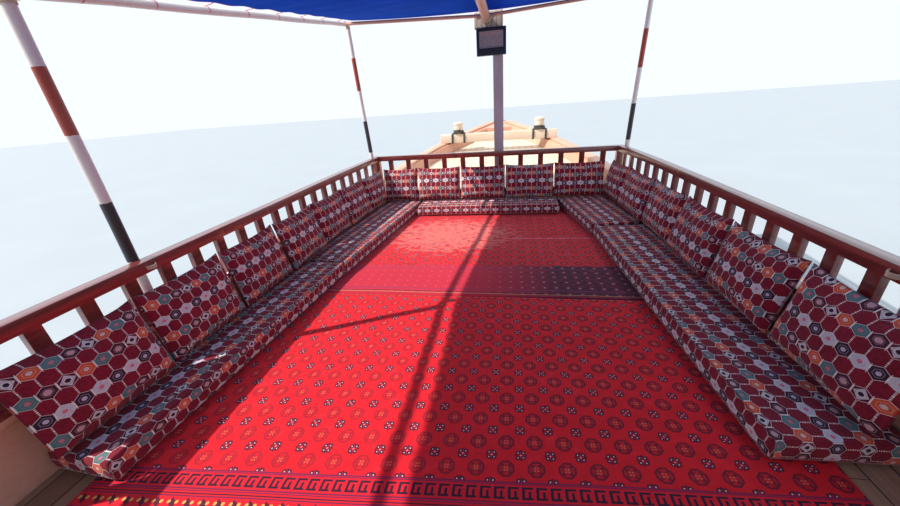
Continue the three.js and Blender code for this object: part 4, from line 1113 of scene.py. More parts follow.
build = Build()
ridge_ends = (RIDGE_X, AWNING_AFT_Y + 0.02, RIDGE_Z), (RIDGE_X, RIDGE_FRONT_Y, RIDGE_Z)
add_tube(build, crooked(*ridge_ends, 40, 0.004, 1.0), RIDGE_R, 28)
for y in RAFTER_Y:
    crown = (RIDGE_X, y, RIDGE_Z + 0.004)
    for sign in (-1, 1):
        foot = side_pole(sign, y) - (sign * (SIDE_POLE_R + 0.001), 0, 0)
        add_tube(build, crooked(foot, crown, 14, 0.002, y), RAFTER_R, 16)
build.finish("ridge_timber", peach, nodes=["awning_ridge_frame"])
beveled_box(Build(), *CHOCK, 0.01).finish("ridge_chock", weathered)
ties = Build()
for y in RAFTER_Y:
    for sign in (-1, 1):
        lashing(ties, (RIDGE_X + sign * 0.10, y, RIDGE_Z - 0.004), (sign, 0, -0.05), RAFTER_R + 0.001, 0.05)
    lashing(ties, (RIDGE_X, y, RIDGE_Z), (0, 1, 0), RIDGE_R + 0.001, 0.09, rope=0.006)
lashing(ties, (RIDGE_X, AWNING_FRONT_Y, RIDGE_Z), (0, 1, 0), RIDGE_R + 0.001, 0.10, rope=0.007)
ties.finish("ridge_lashings", pale_rope)
print("poles", len(POLE_Y) * 2, "rafters", len(RAFTER_Y) * 2)

# %% [markdown]
# ## Awning
#
# One sheet of blue canvas, pulled over the ridge pole and laced to the side poles with a strip of light
# between. Canvas that is held at a few places hangs between them in shallow curves, both downwards and
# inwards, and that is how it is computed: the tent shape, less a sag between the rafters and an inward curve
# between the poles.

# %% Awning
CLOTH_T = 0.003
LACE_GAP = 0.075
RIDGE_LIFT, EDGE_DROP = 0.020, 0.006
CLOTH_FRONT_Y = AWNING_FRONT_Y - 0.004
CURVE_IN, SAG, BAY_SAG, RIPPLE = 0.014, 0.018, 0.055, 0.006
TIE_R, TIE_LIFT = 0.0030, 0.014


def awning_surface(along, across):
    """Points of the cloth. along is y, across runs from -1 at port to 1 at starboard. Height falls from the
    ridge to the edge and sags by a sine between rafters; the side edge curves in by a sine between poles."""
    half = side_pole_x(along) - LACE_GAP
    ahead = (along - MIDDLE_POLE_Y) / (AWNING_FRONT_Y - MIDDLE_POLE_Y)
    astern = (along - AWNING_AFT_Y) / (MIDDLE_POLE_Y - AWNING_AFT_Y)
    bay = np.clip(np.where(along > MIDDLE_POLE_Y, ahead, astern), 0, 1)
    share = np.abs(across)
    curve_in = CURVE_IN * np.sin(math.pi * bay) ** 0.8 * share ** 3
    rafter = np.sin(math.pi * bay) ** 2
    tent = (RIDGE_Z + RIDGE_R + RIDGE_LIFT) * (1 - share) + (awning_edge_z(along) - EDGE_DROP) * share
    sag = (SAG + BAY_SAG * rafter) * (4 * share * (1 - share)) ** 0.9
    ripple = RIPPLE * np.sin(17 * along + 5 * across) * share * rafter
    return np.stack([across * (half - curve_in), along, tent - sag + ripple - curve_in * 0.10], -1)


along, across = np.meshgrid(
    np.linspace(AWNING_AFT_Y, CLOTH_FRONT_Y, 150), np.linspace(-1, 1, 91), indexing="ij",
)
cloth = awning_surface(along, across)
edge_gap = np.minimum(np.abs(cloth[..., 0] - cloth[:, :1, 0]), np.abs(cloth[..., 0] - cloth[:, -1:, 0]))
edge_gap = np.minimum(edge_gap, np.minimum(along - AWNING_AFT_Y, CLOTH_FRONT_Y - along))
build = Build().grid(cloth, np.stack([cloth[..., 0], along, edge_gap], -1))
awning = build.finish("canvas_awning", canopy, attribute="cloth", nodes=["awning"])
thick = awning.modifiers.new("canvas", "SOLIDIFY")
thick.thickness, thick.offset = CLOTH_T, 0

ties = Build()
for sign in (-1, 1):
    for y in np.concatenate([np.linspace(-4.6, -0.9, 8), np.linspace(-0.2, 3.2, 8)]):
        hem = awning_surface(np.array(y), np.array(float(sign)))
        pole = side_pole(sign, y)
        middle = (hem + pole) / 2 + (0, 0, TIE_LIFT)
        over = pole + (-sign * 0.004, 0, SIDE_POLE_R + 0.003)
        add_tube(ties, [hem + (0, 0, 0.003), middle, over], TIE_R, 6)
        lashing(ties, pole, (0, 1, 0), SIDE_POLE_R + 0.0002, 0.008, rope=0.0020)
for sign in (-1, 1):
    for y in POLE_Y:
        beside = side_pole(sign, y) + (0, 0.05 if y < 0 else -0.05, 0)
        lashing(ties, beside, (0, 1, 0), SIDE_POLE_R + 0.0005, 0.02, rope=0.003)
ties.finish("awning_ties", pink_tape)
print("awning area", round(sum(f.area for f in awning.data.polygons), 2))

# %% [markdown]
# ## Carpets
#
# A rug is a sheet 8 mm thick that lies on the deck. It isn't dead flat: it keeps faint waves from having
# been rolled up, and its edges are bound. The waves fade out towards the mattresses, whose weight presses
# them flat. The after rug ends in a short cotton fringe.

# %% Carpets
CARPET_TOP, CARPET_FOOT, CARPET_HALF = 1.160, 1.1504, 1.81
OPEN_HALF, OPEN_FRONT_Y = 1.32, 2.8
FORE_RUG_Y, AFTER_RUG_Y = (0.457, 3.2), (-1.678, 0.453)


def carpet(name, ends, finish, node):
    """A closed slab of cloth: its top has low waves in the middle of the deck and a rounded edge."""
    x, y = np.meshgrid(np.linspace(-CARPET_HALF, CARPET_HALF, 161), np.linspace(*ends, 121), indexing="ij")
    open_deck = smooth((OPEN_HALF - np.abs(x)) / 0.3) * smooth((OPEN_FRONT_Y - y) / 0.2)
    wave = 0.0022 * np.sin(9 * y + 1.3 * np.sin(2.2 * x)) + 0.0016 * np.sin(7 * x + 3 * y)
    rim = np.minimum(np.minimum(CARPET_HALF - np.abs(x), y - ends[0]), ends[1] - y)
    top = CARPET_TOP - 0.004 + (wave + 0.003) * open_deck * smooth(rim / 0.08)
    top = top - 0.003 * (1 - smooth(rim / 0.012))
    rows, columns = x.shape
    build = Build()
    build.add(np.stack([x, y, top], -1), quads(rows, columns))
    build.add(np.stack([x, y, np.full_like(x, CARPET_FOOT)], -1), quads(rows, columns)[:, ::-1])
    ring = np.concatenate([
        np.arange(columns), np.arange(1, rows) * columns + columns - 1,
        (rows - 1) * columns + np.arange(columns - 2, -1, -1), np.arange(rows - 2, 0, -1) * columns,
    ])
    following = np.roll(ring, -1)
    build.faces += np.stack([ring, following, following + rows * columns, ring + rows * columns], -1).tolist()
    return build.finish(name, finish, nodes=[node])


fore = carpet("forward_rug", FORE_RUG_Y, fore_rug, "carpet_forward")
after = carpet("after_rug", AFTER_RUG_Y, after_rug, "carpet_aft")

# %% Fringe
FRINGE_PITCH, FRINGE_LONG, FRINGE_Y = 0.011, 0.055, -1.677
FRINGE_LOW, FRINGE_HIGH = CARPET_FOOT + 0.0002, CARPET_FOOT + 0.0032
# A strand's outline from above. Columns: place across, place along as a share of its length.
STRAND = np.array([(-0.0028, 0), (0.0028, 0), (0.0022, -0.6), (0.0034, -1), (-0.0034, -1), (-0.0022, -0.6)])
STRAND_FACES = np.array(
    [(0, 1, 2, 5), (5, 2, 3, 4), (11, 8, 7, 6), (10, 9, 8, 11)]
    + [(k, k + 6, (k + 1) % 6 + 6, (k + 1) % 6) for k in range(6)]
)
fringe_x = np.arange(-CARPET_HALF + 0.008, CARPET_HALF - 0.006, FRINGE_PITCH)
lean = 0.012 * np.sin(fringe_x * 37) + 0.006 * np.sin(fringe_x * 101)
strands = np.zeros((len(fringe_x), 2, len(STRAND), 3))
strands[..., 0] = (fringe_x[:, None] + STRAND[:, 0] - lean[:, None] * STRAND[:, 1])[:, None]
strands[..., 1] = FRINGE_Y + STRAND[:, 1] * FRINGE_LONG
strands[..., 2] = np.array([FRINGE_LOW, FRINGE_HIGH])[:, None]
faces = np.arange(len(fringe_x))[:, None, None] * 2 * len(STRAND) + STRAND_FACES
fringe = Build().add(strands, faces.reshape(-1, 4)).finish("after_fringe", pale_rope)
print("fringe strands", len(fringe_x))

# %% [markdown]
# ## Cushions and mattresses
#
# Each back cushion is two rectangles of cloth sewn together and stuffed. Stuffing pulls the sides in between
# the corners, so the corners stick out as points, and it sinks, so the lower half is thicker. Each floor
# mattress is a box of cloth: a top and a bottom panel with a band between. Both start as such a shape in
# their own axes. A cloth simulation with air pressure inside then gives the swelling and the creases along
# the seams.

# %% Sewn shapes
SEAT_Z, SEAT_CROWN = 1.3253, 0.012
SINK = 0.024
CUSHION_DEPTH, CUSHION_TALL = 0.110, 0.52
# A stuffed cushion stands out past its solid by these, in thickness, height and length
PLUMP_DEEP, PLUMP_TALL, PLUMP_LONG, PLUMP_UP = 0.018, 0.024, 0.008, 0.010
PULL = 0.004
DOME_POWER, DOME_ROOT = 2.6, 0.66
MATTRESS_T, BAND_BULGE = 0.165, 0.010
FLOOR_Z = 1.1603
RAIL_FACE = 0.17
rng = np.random.default_rng(7)


def grid_faces(numbers, step=1):
    """Faces of a grid of point numbers. Step -1 turns them over."""
    corners = [numbers[:-1, :-1], numbers[1:, :-1], numbers[1:, 1:], numbers[:-1, 1:]]
    return np.stack(corners, -1).reshape(-1, 4)[:, ::step].tolist()


def crowded(count, bend):
    """Shares from -1 to 1 that lie closer together near both ends."""
    return np.sin(np.linspace(-1, 1, count) * bend) / math.sin(bend)


def cushion_points(length, mitre, fill):
    """A pillow in its own axes, length along x, thickness along y, height along z. The outline pulls in by a
    parabola between corners. Thickness is a dome, one less the 2.6th power of the place in both directions.
    Two grids are sewn along their rim: the front keeps all its points, the back only those inside the rim."""
    rows, columns = max(12, int(length / 0.0165)), 30
    a, c = np.meshgrid(crowded(rows, 1.35), crowded(columns, 1.25), indexing="ij")
    tall, long = CUSHION_TALL + PLUMP_TALL, length + PLUMP_LONG
    x = a * (long / 2 - PULL * (1 - c * c))
    z = PLUMP_UP + c * (tall / 2 - PULL * (1 - a * a)) - PULL * (c > 0) * c * np.cos(math.pi * a / 2) ** 2
    x -= np.where(a > 0, a, 0) * mitre * (1 - c) / 2
    dome = ((1 - np.abs(a) ** DOME_POWER) * (1 - np.abs(c) ** DOME_POWER)) ** DOME_ROOT
    thick = (CUSHION_DEPTH / 2 + PLUMP_DEEP) * fill * dome * (1 - 0.16 * c)
    seam = np.minimum((1 - np.abs(a)) * long / 2, (1 - np.abs(c)) * tall / 2)
    front, back = np.stack([x, -thick, z], -1), np.stack([x, thick, z], -1)
    stored = np.stack([a * long / 2, c * tall / 2, seam], -1)
    points, stored = [
        np.vstack([whole.reshape(-1, 3), inside[1:-1, 1:-1].reshape(-1, 3)])
        for whole, inside in ((front, back), (stored, stored))
    ]
    numbers = np.arange(rows * columns).reshape(rows, columns)
    behind = numbers.copy()
    behind[1:-1, 1:-1] = rows * columns + np.arange((rows - 2) * (columns - 2)).reshape(rows - 2, columns - 2)
    return points, grid_faces(numbers) + grid_faces(behind, -1), stored


def mattress_points(length, width_aft, width_fore):
    """A boxed pad, length along y, width along x, standing on z = 0. A section is a loop: over the top, down
    the band, along the bottom and up the other band. Ends close with two more panels."""
    rows, top, band = int(length / 0.03), 22, 5
    s = np.linspace(-1, 1, rows)[:, None]
    y = s * (length / 2 - 0.006)
    half = (width_aft + (width_fore - width_aft) * (s + 1) / 2) / 2 - 0.008
    t = np.linspace(-1, 1, top)[None, :]
    h = np.linspace(1, 0, band + 2)[1:-1][None, :]
    tall = MATTRESS_T - 0.010
    crown = tall * (1 - 0.06 * np.abs(s) ** 8)
    side = half + BAND_BULGE * np.sin(math.pi * h)
    # Columns: across, height, place on the cloth, distance to the nearest seam
    rim = tall * np.minimum(h, 1 - h)
    panels = [
        (half * t, crown, half * t, half - np.abs(half * t)),
        (side, crown * h, half + tall * (1 - h), rim),
        (-half * t, 0, half + tall + half * (1 + t), half - np.abs(half * t)),
        (-side, crown * (1 - h), -half - tall * h, rim),
    ]
    x, z, v, gap = [
        np.concatenate([np.broadcast_to(panel[k], panel[0].shape) for panel in panels], axis=1)
        for k in range(4)
    ]
    along = np.broadcast_to(y, x.shape)
    loop = np.stack([x, along, z], -1)
    stored = np.stack([along, v, np.minimum(gap, length / 2 - np.abs(along))], -1)
    columns = x.shape[1]
    faces = quads(rows, columns, close_columns=True).tolist()
    # The end panels are grids between the top's and the bottom's points
    points, values = [loop.reshape(-1, 3)], [stored.reshape(-1, 3)]
    count = rows * columns
    w = h[0][:, None]
    for row, order in ((0, 1), (rows - 1, -1)):
        numbers = row * columns + np.arange(columns)
        level = np.zeros((band + 2, top), int)
        level[0], level[-1] = numbers[:top], numbers[top + band:2 * top + band][::-1]
        level[1:-1, -1], level[1:-1, 0] = numbers[top:top + band], numbers[2 * top + band:][::-1]
        level[1:-1, 1:-1] = count + np.arange(band * (top - 2)).reshape(band, top - 2)
        count += band * (top - 2)
        top_line, low_line = loop[row, 1:top - 1], loop[row, top + band:2 * top + band][::-1][1:-1]
        out = np.array([0, -order, 0]) * (BAND_BULGE * np.sin(math.pi * w[..., None]))
        points.append((top_line * w[..., None] + low_line * (1 - w[..., None]) + out).reshape(-1, 3))
        down, edge = tall * (1 - w), tall * np.minimum(w, 1 - w)
        panel = np.stack(np.broadcast_arrays(-order * (length / 2 + down), top_line[:, 0], edge), -1)
        values.append(panel.reshape(-1, 3))
        faces += grid_faces(level, order)
    return np.vstack(points), faces, np.vstack(values)


# %% [markdown]
# Where each pad lies is the same arithmetic as in the solids: the cushions of a row follow their rail by a
# pitch and lean on it, and the mattresses lie along the rails, a little askew.

# %% Where the pads lie
FRONT_LEAN = 0.28
FILL_RANGE = (0.74, 0.86)
# Columns: middle, length
FRONT_ROW = [(-1.533, 0.604), (-0.865, 0.710), (-0.139, 0.722), (0.605, 0.746), (1.358, 0.740)]
# Columns: side, its sign, count, forward end, length of the first, of the others, pitch, mitre of the first
SIDE_ROWS = [
    ("port", -1, 7, 3.326, 0.670, 0.672, 0.688, 0.165), ("starboard", 1, 6, 3.405, 0.645, 0.720, 0.740, 0.0),
]
# Columns: name, sign, inner forward corner, inner aft corner, widths forward and aft
SIDE_MATTRESSES = [
    ("port_forward", -1, (1.182, 3.390), (1.450, 0.890), (0.606, 0.590)),
    ("port_aft", -1, (1.462, 0.870), (1.640, -1.440), (0.568, 0.430)),
    ("starboard_forward", 1, (1.052, 3.380), (1.300, 2.040), (0.733, 0.645)),
    ("starboard_aft", 1, (1.322, 1.970), (1.495, -0.960), (0.623, 0.576)),
]


class Pad:
    """A sewn shape, the turn and place that put it in the boat, and the node that it stands for."""

    def __init__(self, name, node, shape, lean, facing, place):
        self.name, self.node, self.cushion = name, node, node.startswith("cushion")
        self.points, self.faces, self.stored = shape
        self.lean, self.facing, self.place = lean, facing, np.array(place)

    def put(self, p):
        """Lean back about x, turn about z, then move."""
        c, s = math.cos(self.lean), math.sin(self.lean)
        x, y, z = p[:, 0], p[:, 1] * c + p[:, 2] * s, -p[:, 1] * s + p[:, 2] * c
        c, s = math.cos(self.facing), math.sin(self.facing)
        return np.stack([x * c - y * s, x * s + y * c, z], -1) + self.place


def stand_off(lean):
    return CUSHION_TALL / 2 * math.sin(lean) + CUSHION_DEPTH / 2 * math.cos(lean) - 0.002


def cushion_height(lean):
    return SEAT_Z + CUSHION_TALL / 2 * math.cos(lean) + CUSHION_DEPTH / 2 * math.sin(lean) - SINK


def rail_half(y):
    return float(gunwale_half(y)) - RAIL_IN - RAIL_W / 2


pads = []
for i, (x, length) in enumerate(FRONT_ROW, 1):
    place = (x, FRONT_Y - RAIL_W / 2 - stand_off(FRONT_LEAN), cushion_height(FRONT_LEAN))
    shape = cushion_points(length, 0, rng.uniform(*FILL_RANGE))
    pads.append(Pad(f"front_cushion_{i}", f"cushion_front_{i}", shape, FRONT_LEAN, 0.0, place))
for side, sign, count, end, first, length, pitch, mitre in SIDE_ROWS:
    for i in range(count):
        long = length if i else first
        lean = 0.2 + 0.03 * math.sin(2.4 * i)
        y = end - long / 2
        away = float(gunwale_half(y)) - RAIL_FACE - stand_off(lean) - 0.009
        slope = (rail_half(y + 0.2) - rail_half(y - 0.2)) / 0.4
        turn = 0.012 * math.sin(1.7 * i + 1) * (i > 0) - sign * slope
        shape = cushion_points(long, 0 if i else mitre, rng.uniform(*FILL_RANGE))
        pads.append(Pad(
            f"{side}_cushion_{i + 1}", f"cushion_{side}_{i + 1}", shape, lean, -sign * math.pi / 2 + turn,
            (sign * away, y, cushion_height(lean)),
        ))
        end -= pitch if i else first + pitch - length
for name, sign, (fore_x, fore_y), (aft_x, aft_y), (fore_width, aft_width) in SIDE_MATTRESSES:
    a = np.array([sign * (fore_x + fore_width / 2), fore_y])
    b = np.array([sign * (aft_x + aft_width / 2), aft_y])
    turn = math.atan2(a[1] - b[1], a[0] - b[0]) - math.pi / 2
    shape = mattress_points(float(np.hypot(*(a - b))), aft_width, fore_width)
    pads.append(Pad(f"pad_{name}", f"mattress_{name}", shape, 0.0, turn, (*((a + b) / 2), FLOOR_Z)))
pads.append(Pad(
    "pad_front", "mattress_front", mattress_points(2.2, 0.52, 0.52), 0.0, math.pi / 2,
    (-0.064, FRONT_Y - 0.375, FLOOR_Z),
))
print("pads", len(pads), "points", sum(len(p.points) for p in pads))

# %% [markdown]
# ## Blowing them up
#
# All pads are simulated together, each in its own axes, with pressure inside, no gravity and nothing pinned.
# A short run is enough. A point may then only have moved as far as the pad's limit. Sewn cloth draws in its
# outline as it swells, so the outline is stretched back to its size.

# %% Cloth simulation
SIM_FRAMES = 20
PRESSURE = 4.0


def blow_up(pads):
    """Run one cloth simulation for all pads side by side and return their points."""
    trial = []
    for pad in pads:
        mesh = bpy.data.meshes.new("trial")
        mesh.from_pydata(pad.points.tolist(), [], pad.faces)
        body = bpy.data.objects.new("trial", mesh)
        bpy.context.collection.objects.link(body)
        soft = body.modifiers.new("air", "CLOTH")
        settings = soft.settings
        settings.quality = 4
        settings.mass = 0.3
        settings.use_pressure, settings.uniform_pressure_force = True, PRESSURE
        settings.tension_stiffness = settings.compression_stiffness = 12
        settings.bending_stiffness = 0.4
        settings.effector_weights.gravity = 0
        soft.collision_settings.use_collision = False
        trial.append(body)
    for step in range(1, SIM_FRAMES + 1):
        bpy.context.scene.frame_set(step)
    seen = bpy.context.evaluated_depsgraph_get()
    results = []
    for body in trial:
        blown = body.evaluated_get(seen).data
        flat = np.empty(len(blown.vertices) * 3, np.float32)
        blown.vertices.foreach_get("co", flat)
        results.append(flat.reshape(-1, 3).astype(float))
    for body in trial:
        mesh = body.data
        bpy.data.objects.remove(body)
        bpy.data.meshes.remove(mesh)
    bpy.context.scene.frame_set(1)
    return results


blown = blow_up(pads)

# %% Settle the pads on what carries them
CUSHION_LIMIT, MATTRESS_LIMIT = 0.024, 0.009


def settled(pad, moved):
    """Cap the move, stretch the outline back to its size, place the pad, then press it flat where it meets
    deck, seat or rail."""
    step = moved - pad.points
    size = np.linalg.norm(step, axis=1, keepdims=True)
    limit = CUSHION_LIMIT if pad.cushion else MATTRESS_LIMIT
    full = pad.points + step * np.minimum(1, limit / np.maximum(size, 1e-9))
    outline = [0, 2] if pad.cushion else [0, 1]
    full[:, outline] *= np.ptp(pad.points, axis=0)[outline] / np.ptp(full, axis=0)[outline]
    p = pad.put(full)
    if not pad.cushion:
        p[:, 2] = np.maximum(p[:, 2], FLOOR_Z + 0.0005)
        return p
    p[:, 2] = np.maximum(p[:, 2], SEAT_Z + SEAT_CROWN)
    if pad.node.startswith("cushion_front"):
        p[:, 1] = np.minimum(p[:, 1], FRONT_Y - RAIL_W / 2 - 0.002)
    else:
        wall = gunwale_half(p[:, 1]) - RAIL_FACE - 0.002
        p[:, 0] = np.clip(p[:, 0], -wall, wall)
    return p


for pad, moved in zip(pads, blown):
    place = settled(pad, moved)
    stored = pad.stored + np.array([rng.uniform(-0.2, 0.2), rng.uniform(-0.07, 0.07), 0])
    build = Build().add(place, pad.faces, stored)
    piece = build.finish(pad.name, weave, attribute="cloth", nodes=[pad.node])
    finer = piece.modifiers.new("finer", "SUBSURF")
    finer.levels = finer.render_levels = 1
print("pads placed", len(pads))

# %% [markdown]
# ## Bitts and their rope
#
# Two stout posts stand through the mooring beam, for tying up. A post is turned on a lathe, so it is a
# profile spun about its axis, with a hollow under its head. Dark tarred rope is left wound round each post's
# foot and over the beam. A turn round a square timber follows a rounded rectangle, whose formula is a circle
# with its sine and cosine raised to a small power.

# %% Bitts
BEAM_AT_Y, BEAM_OVER_CAP, BEAM_HIGH, BEAM_WIDE = 6.2, 0.172, 0.185, 0.19
BEAM_TOP = float(gunwale_z(BEAM_AT_Y)) + CAP_T + BEAM_OVER_CAP
ROPE_R = 0.011
# Columns: radius, height above the beam.
BITT_PROFILE = [
    (0.002, -0.205), (0.066, -0.204), (0.0695, -0.197), (0.0695, -0.001), (0.100, 0.0006), (0.105, 0.007),
    (0.105, 0.140), (0.1025, 0.185), (0.1035, 0.205), (0.1120, 0.212), (0.1125, 0.222), (0.108, 0.241),
    (0.096, 0.258), (0.070, 0.2645), (0.002, 0.265),
]


def rounded_loop(centre, half_y, half_z):
    """A turn round a timber that runs along x: y and z are cosine and sine to the power 0.4."""
    t = np.linspace(0, 2 * math.pi, 48)
    y = np.sign(np.cos(t)) * np.abs(np.cos(t)) ** 0.4 * half_y
    z = np.sign(np.sin(t)) * np.abs(np.sin(t)) ** 0.4 * half_z
    return np.asarray(centre, float) + np.stack([0 * t, y, z], -1)


for side, x in (("port", -0.9), ("starboard", 0.95)):
    post = turned(Build(), BITT_PROFILE, (x, BEAM_AT_Y, BEAM_TOP), 40)
    post.finish(f"{side}_bitt", cream, nodes=[f"bitt_{side}"])
    rope = Build()
    lashing(rope, (x, BEAM_AT_Y, BEAM_TOP + 0.052), (0, 0, 1), 0.106, 0.075, rope=ROPE_R)
    for offset in (-0.150, -0.127, 0.127, 0.150):
        middle = (x + offset, BEAM_AT_Y, BEAM_TOP - BEAM_HIGH / 2)
        add_tube(rope, rounded_loop(middle, BEAM_WIDE / 2 + ROPE_R, BEAM_HIGH / 2 + ROPE_R), ROPE_R, 8)
    t = math.pi * np.linspace(0, 1, 20)
    rise = BEAM_TOP + 0.014 + 0.020 * np.sin(t)
    for way in (-1, 1):
        cross = np.stack([x + 0.138 * way * np.cos(t), BEAM_AT_Y - way * 0.118 * np.sin(t), rise], -1)
        add_tube(rope, cross, ROPE_R, 8)
    rope.finish(f"{side}_bitt_rope", dark_rope)
print("beam top", round(BEAM_TOP, 3))

# %% [markdown]
# ## Floodlight
#
# The lamp is a black case with a window. Behind the glass a reflector slopes in on four sides to a flat
# panel, which draws the dark lines seen at its corners. The reflector is four sloping quads round a fifth
# one, closed at the back, and it takes the place of the plain glass.

# %% Floodlight window
LAMP_X, LAMP_FACE_Y = 0.03, 3.49
WINDOW_HALF, WINDOW_LOW, WINDOW_HIGH = 0.172, 3.489, 3.698
FIN_HALF, FIN_LOW, FIN_HIGH = 0.004, (3.5795, 3.52), (3.588, 3.72)


def frame_ring(share, up, down, back):
    """Four corners of an upright rectangle: the window, narrowed to a share and drawn in from its edges."""
    half, low, high, y = WINDOW_HALF * share, WINDOW_LOW + up, WINDOW_HIGH - down, LAMP_FACE_Y + back
    left, right = LAMP_X - half, LAMP_X + half
    return [(left, y, low), (right, y, low), (right, y, high), (left, y, high)]


rings = np.array([
    frame_ring(1, 0, 0, 0.0255), frame_ring(1, 0, 0, 0.006),
    frame_ring(0.96, 0.007, 0.007, 0.006), frame_ring(0.72, 0.022, 0.050, 0.020),
])
Build().barrel(rings).finish("lamp_window", lamp_glass, nodes=["floodlight_glass"], smooth_faces=False)
fins = Build()
for x in np.linspace(LAMP_X - 0.15, LAMP_X + 0.15, 11):
    beveled_box(fins, (x - FIN_HALF, *FIN_LOW), (x + FIN_HALF, *FIN_HIGH), 0.0015)
fins.finish("lamp_fins", lamp_black)

# %% [markdown]
# ## Helm wheel
#
# A ship's wheel is a felloe ring with eight turned spokes that stick out past it as handles. The ring is a
# tube along a circle, and each spoke is one lathe profile: thin at the hub, a bead, and a swelling grip.

# %% Helm wheel
WHEEL_Z, WHEEL_Y = 2.14, -5.96
WHEEL_R, RIM_R, GROOVE_R = 0.300, 0.020, 0.0035
SPOKES = 8
# Columns: radius, distance from the wheel's middle.
SPOKE_PROFILE = [
    (0.002, 0.030), (0.013, 0.032), (0.0125, 0.060), (0.0150, 0.090), (0.0170, 0.105), (0.0130, 0.122),
    (0.0105, 0.150), (0.0105, 0.215), (0.0140, 0.250), (0.0145, 0.278), (0.0145, 0.318), (0.0085, 0.326),
    (0.0090, 0.338), (0.0125, 0.356), (0.0138, 0.378), (0.0118, 0.396), (0.0060, 0.404), (0.002, 0.405),
]
HUB_PROFILE = [
    (0.002, -0.037), (0.020, -0.036), (0.030, -0.030), (0.044, -0.026), (0.048, -0.018), (0.048, 0.022),
    (0.042, 0.030), (0.036, 0.050), (0.034, 0.066), (0.0178, 0.0695), (0.0178, 0.2195), (0.002, 0.2198),
]
BOSS_PROFILE = [(0.002, -0.0395), (0.012, -0.039), (0.019, -0.0355), (0.019, -0.030), (0.002, -0.0295)]

wheel = Build()
wheel_at = (0, WHEEL_Y, WHEEL_Z)
hoop(wheel, wheel_at, WHEEL_R, RIM_R, 16)
for groove in (WHEEL_R - 0.014, WHEEL_R + 0.014):
    hoop(wheel, (0, WHEEL_Y - 0.0150, WHEEL_Z), groove, GROOVE_R, 8)
for k in range(SPOKES):
    angle = k * 2 * math.pi / SPOKES
    turned(wheel, SPOKE_PROFILE, wheel_at, 16, (math.cos(angle), 0, math.sin(angle)))
turned(wheel, HUB_PROFILE, wheel_at, 28, (0, 1, 0))
wheel.finish("helm_wheel", varnish, body="wheel", nodes=["steering_wheel"])
turned(Build(), BOSS_PROFILE, wheel_at, 24, (0, 1, 0)).finish("wheel_boss", bronze, body="wheel")

# %% [markdown]
# ## Propeller
#
# Each of the three blades is a flat ellipse carried outwards along its radius, and it twists as it goes,
# because the tip travels further in one turn than the root does. Pitch angle falls with radius, chord
# swells and closes like an ellipse, and thickness tapers to the tip.

# %% Propeller
PROP_AT = (0, -6.29, -0.56)
BLADES = 3
BLADE_TIP, BLADE_ROOT = 0.320, 0.045
# Columns: radius, distance forward of the blades.
HUB_AND_SHAFT = [
    (0.002, -0.150), (0.022, -0.144), (0.042, -0.120), (0.055, -0.075), (0.062, -0.040), (0.062, 0.090),
    (0.0305, 0.108), (0.0305, 0.559), (0.002, 0.560),
]


def blade(turn):
    """Sections across the chord, each a flat ellipse, at the pitch angle of their radius."""
    r = np.linspace(BLADE_ROOT, BLADE_TIP - 0.002, 22)[:, None]
    share = (r - BLADE_ROOT) / (BLADE_TIP - BLADE_ROOT)
    half_chord = 0.046 + 0.060 * np.sin(math.pi * share ** 0.9 * 0.86)
    half_chord = half_chord * np.sqrt(1 - share ** 6) + 0.004
    pitch = 0.62 + 0.34 * (0.5 - share)
    angle = circle(20)[None, :]
    c, thick = half_chord * np.cos(angle), (0.0085 * (1 - 0.62 * share) + 0.001) * np.sin(angle)
    x, y = c * np.cos(pitch) - thick * np.sin(pitch), c * np.sin(pitch) + thick * np.cos(pitch)
    cs, sn = math.cos(turn), math.sin(turn)
    return np.stack([x * cs + r * sn, y, -x * sn + r * cs], -1) + PROP_AT


screw = Build()
for k in range(BLADES):
    screw.barrel(blade(k * 2 * math.pi / BLADES))
turned(screw, HUB_AND_SHAFT, PROP_AT, 32, (0, 1, 0))
screw.finish("screw", bronze, body="propeller", nodes=["propeller"])

# %% [markdown]
# ## Engine
#
# Under the lid stands a marine diesel. It is seen only when the lid is up, from above: a crankcase, a
# narrower cylinder block with four heads, a flywheel at its after end, a manifold along one side, and
# injector pipes that rise from a pump on the other.

# %% Engine
ENGINE_Y0, ENGINE_Y1, ENGINE_FOOT = -4.738, -3.782, 1.1505
HEADS = 4
HEAD_Y = np.linspace(ENGINE_Y0 + 0.23, ENGINE_Y1 - 0.23, HEADS)
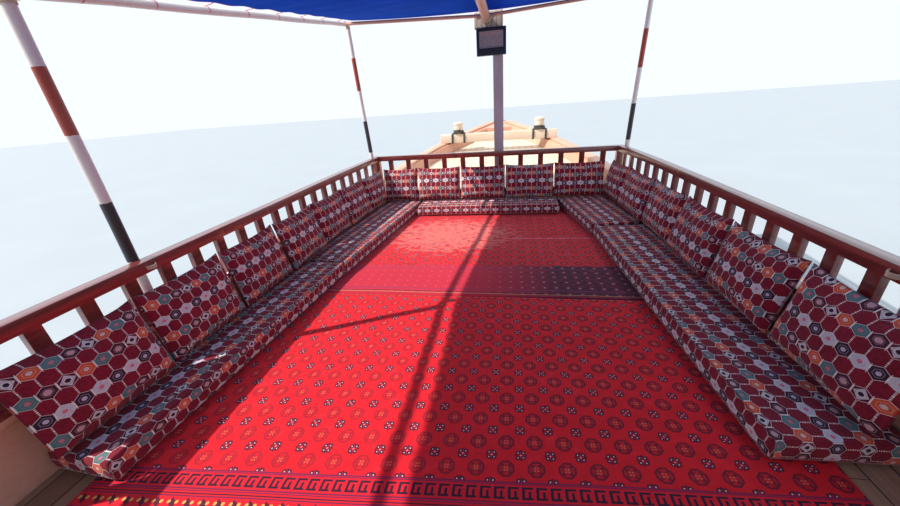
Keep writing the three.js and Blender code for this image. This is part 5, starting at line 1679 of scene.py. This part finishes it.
# Columns: lowest corner, highest corner, width of its edges
CASTINGS = [
    ((-0.328, ENGINE_Y0, ENGINE_FOOT), (0.328, ENGINE_Y1, 1.19), 0.006),
    ((-0.24, ENGINE_Y0 + 0.10, 1.186), (0.24, ENGINE_Y1 - 0.10, 1.40), 0.03),
    ((-0.15, ENGINE_Y0 + 0.13, 1.39), (0.15, ENGINE_Y1 - 0.13, 1.56), 0.015),
]
FLYWHEEL = [(0.002, 0), (0.21, 0.002), (0.215, 0.012), (0.215, 0.062), (0.19, 0.078), (0.002, 0.08)]
HEAD_CAP = [(0.002, 0), (0.034, 0.001), (0.036, 0.02), (0.03, 0.04), (0.002, 0.042)]
INJECTOR = [(0.002, 0), (0.011, 0.001), (0.011, 0.022), (0.002, 0.023)]

block, brass = Build(), Build()
for low, high, width in CASTINGS:
    beveled_box(block, low, high, width)
turned(block, FLYWHEEL, (0, ENGINE_Y0 + 0.018, 1.395), 40, (0, 1, 0))
t = np.linspace(0, 1, 24)
for y in HEAD_Y:
    beveled_box(block, (-0.125, y - 0.068, 1.555), (0.125, y + 0.068, 1.625), 0.012)
    turned(block, HEAD_CAP, (0.04, y, 1.622), 20)
    add_tube(block, [(0.12, y, 1.585), (0.18, y, 1.585), (0.215, y, 1.555)], 0.024, 14)
    rise = 1.45 + 0.195 * np.sin(math.pi * t * 0.62)
    pipe = np.stack([-0.225 + 0.165 * smooth(t), y + 0.02 * np.sin(2 * math.pi * t), rise], -1)
    add_tube(brass, pipe, 0.0045, 8)
    turned(brass, INJECTOR, (-0.055, y, 1.624), 6)
add_tube(block, straight((0.222, HEAD_Y[0] - 0.09, 1.545), (0.222, HEAD_Y[-1] + 0.09, 1.545), 8), 0.042, 20)
beveled_box(block, (-0.285, HEAD_Y[0] - 0.04, 1.34), (-0.19, HEAD_Y[-1] + 0.04, 1.46), 0.012)
block.finish("engine_block", iron, nodes=["engine"])
brass.finish("injector_pipes", bronze)

# %% Lid grip
latch = Build()
t = np.linspace(0, math.pi, 20)
grip = np.stack([0.50 + 0 * t, -4.26 + 0.06 * np.cos(t), 1.804 + 0.026 * np.sin(t)], -1)
add_tube(latch, grip, 0.006, 10)
beveled_box(latch, (0.475, -4.34, 1.8035), (0.525, -4.18, 1.8075), 0.0015)
latch.finish("lid_grip", bronze, body="engine_lid")
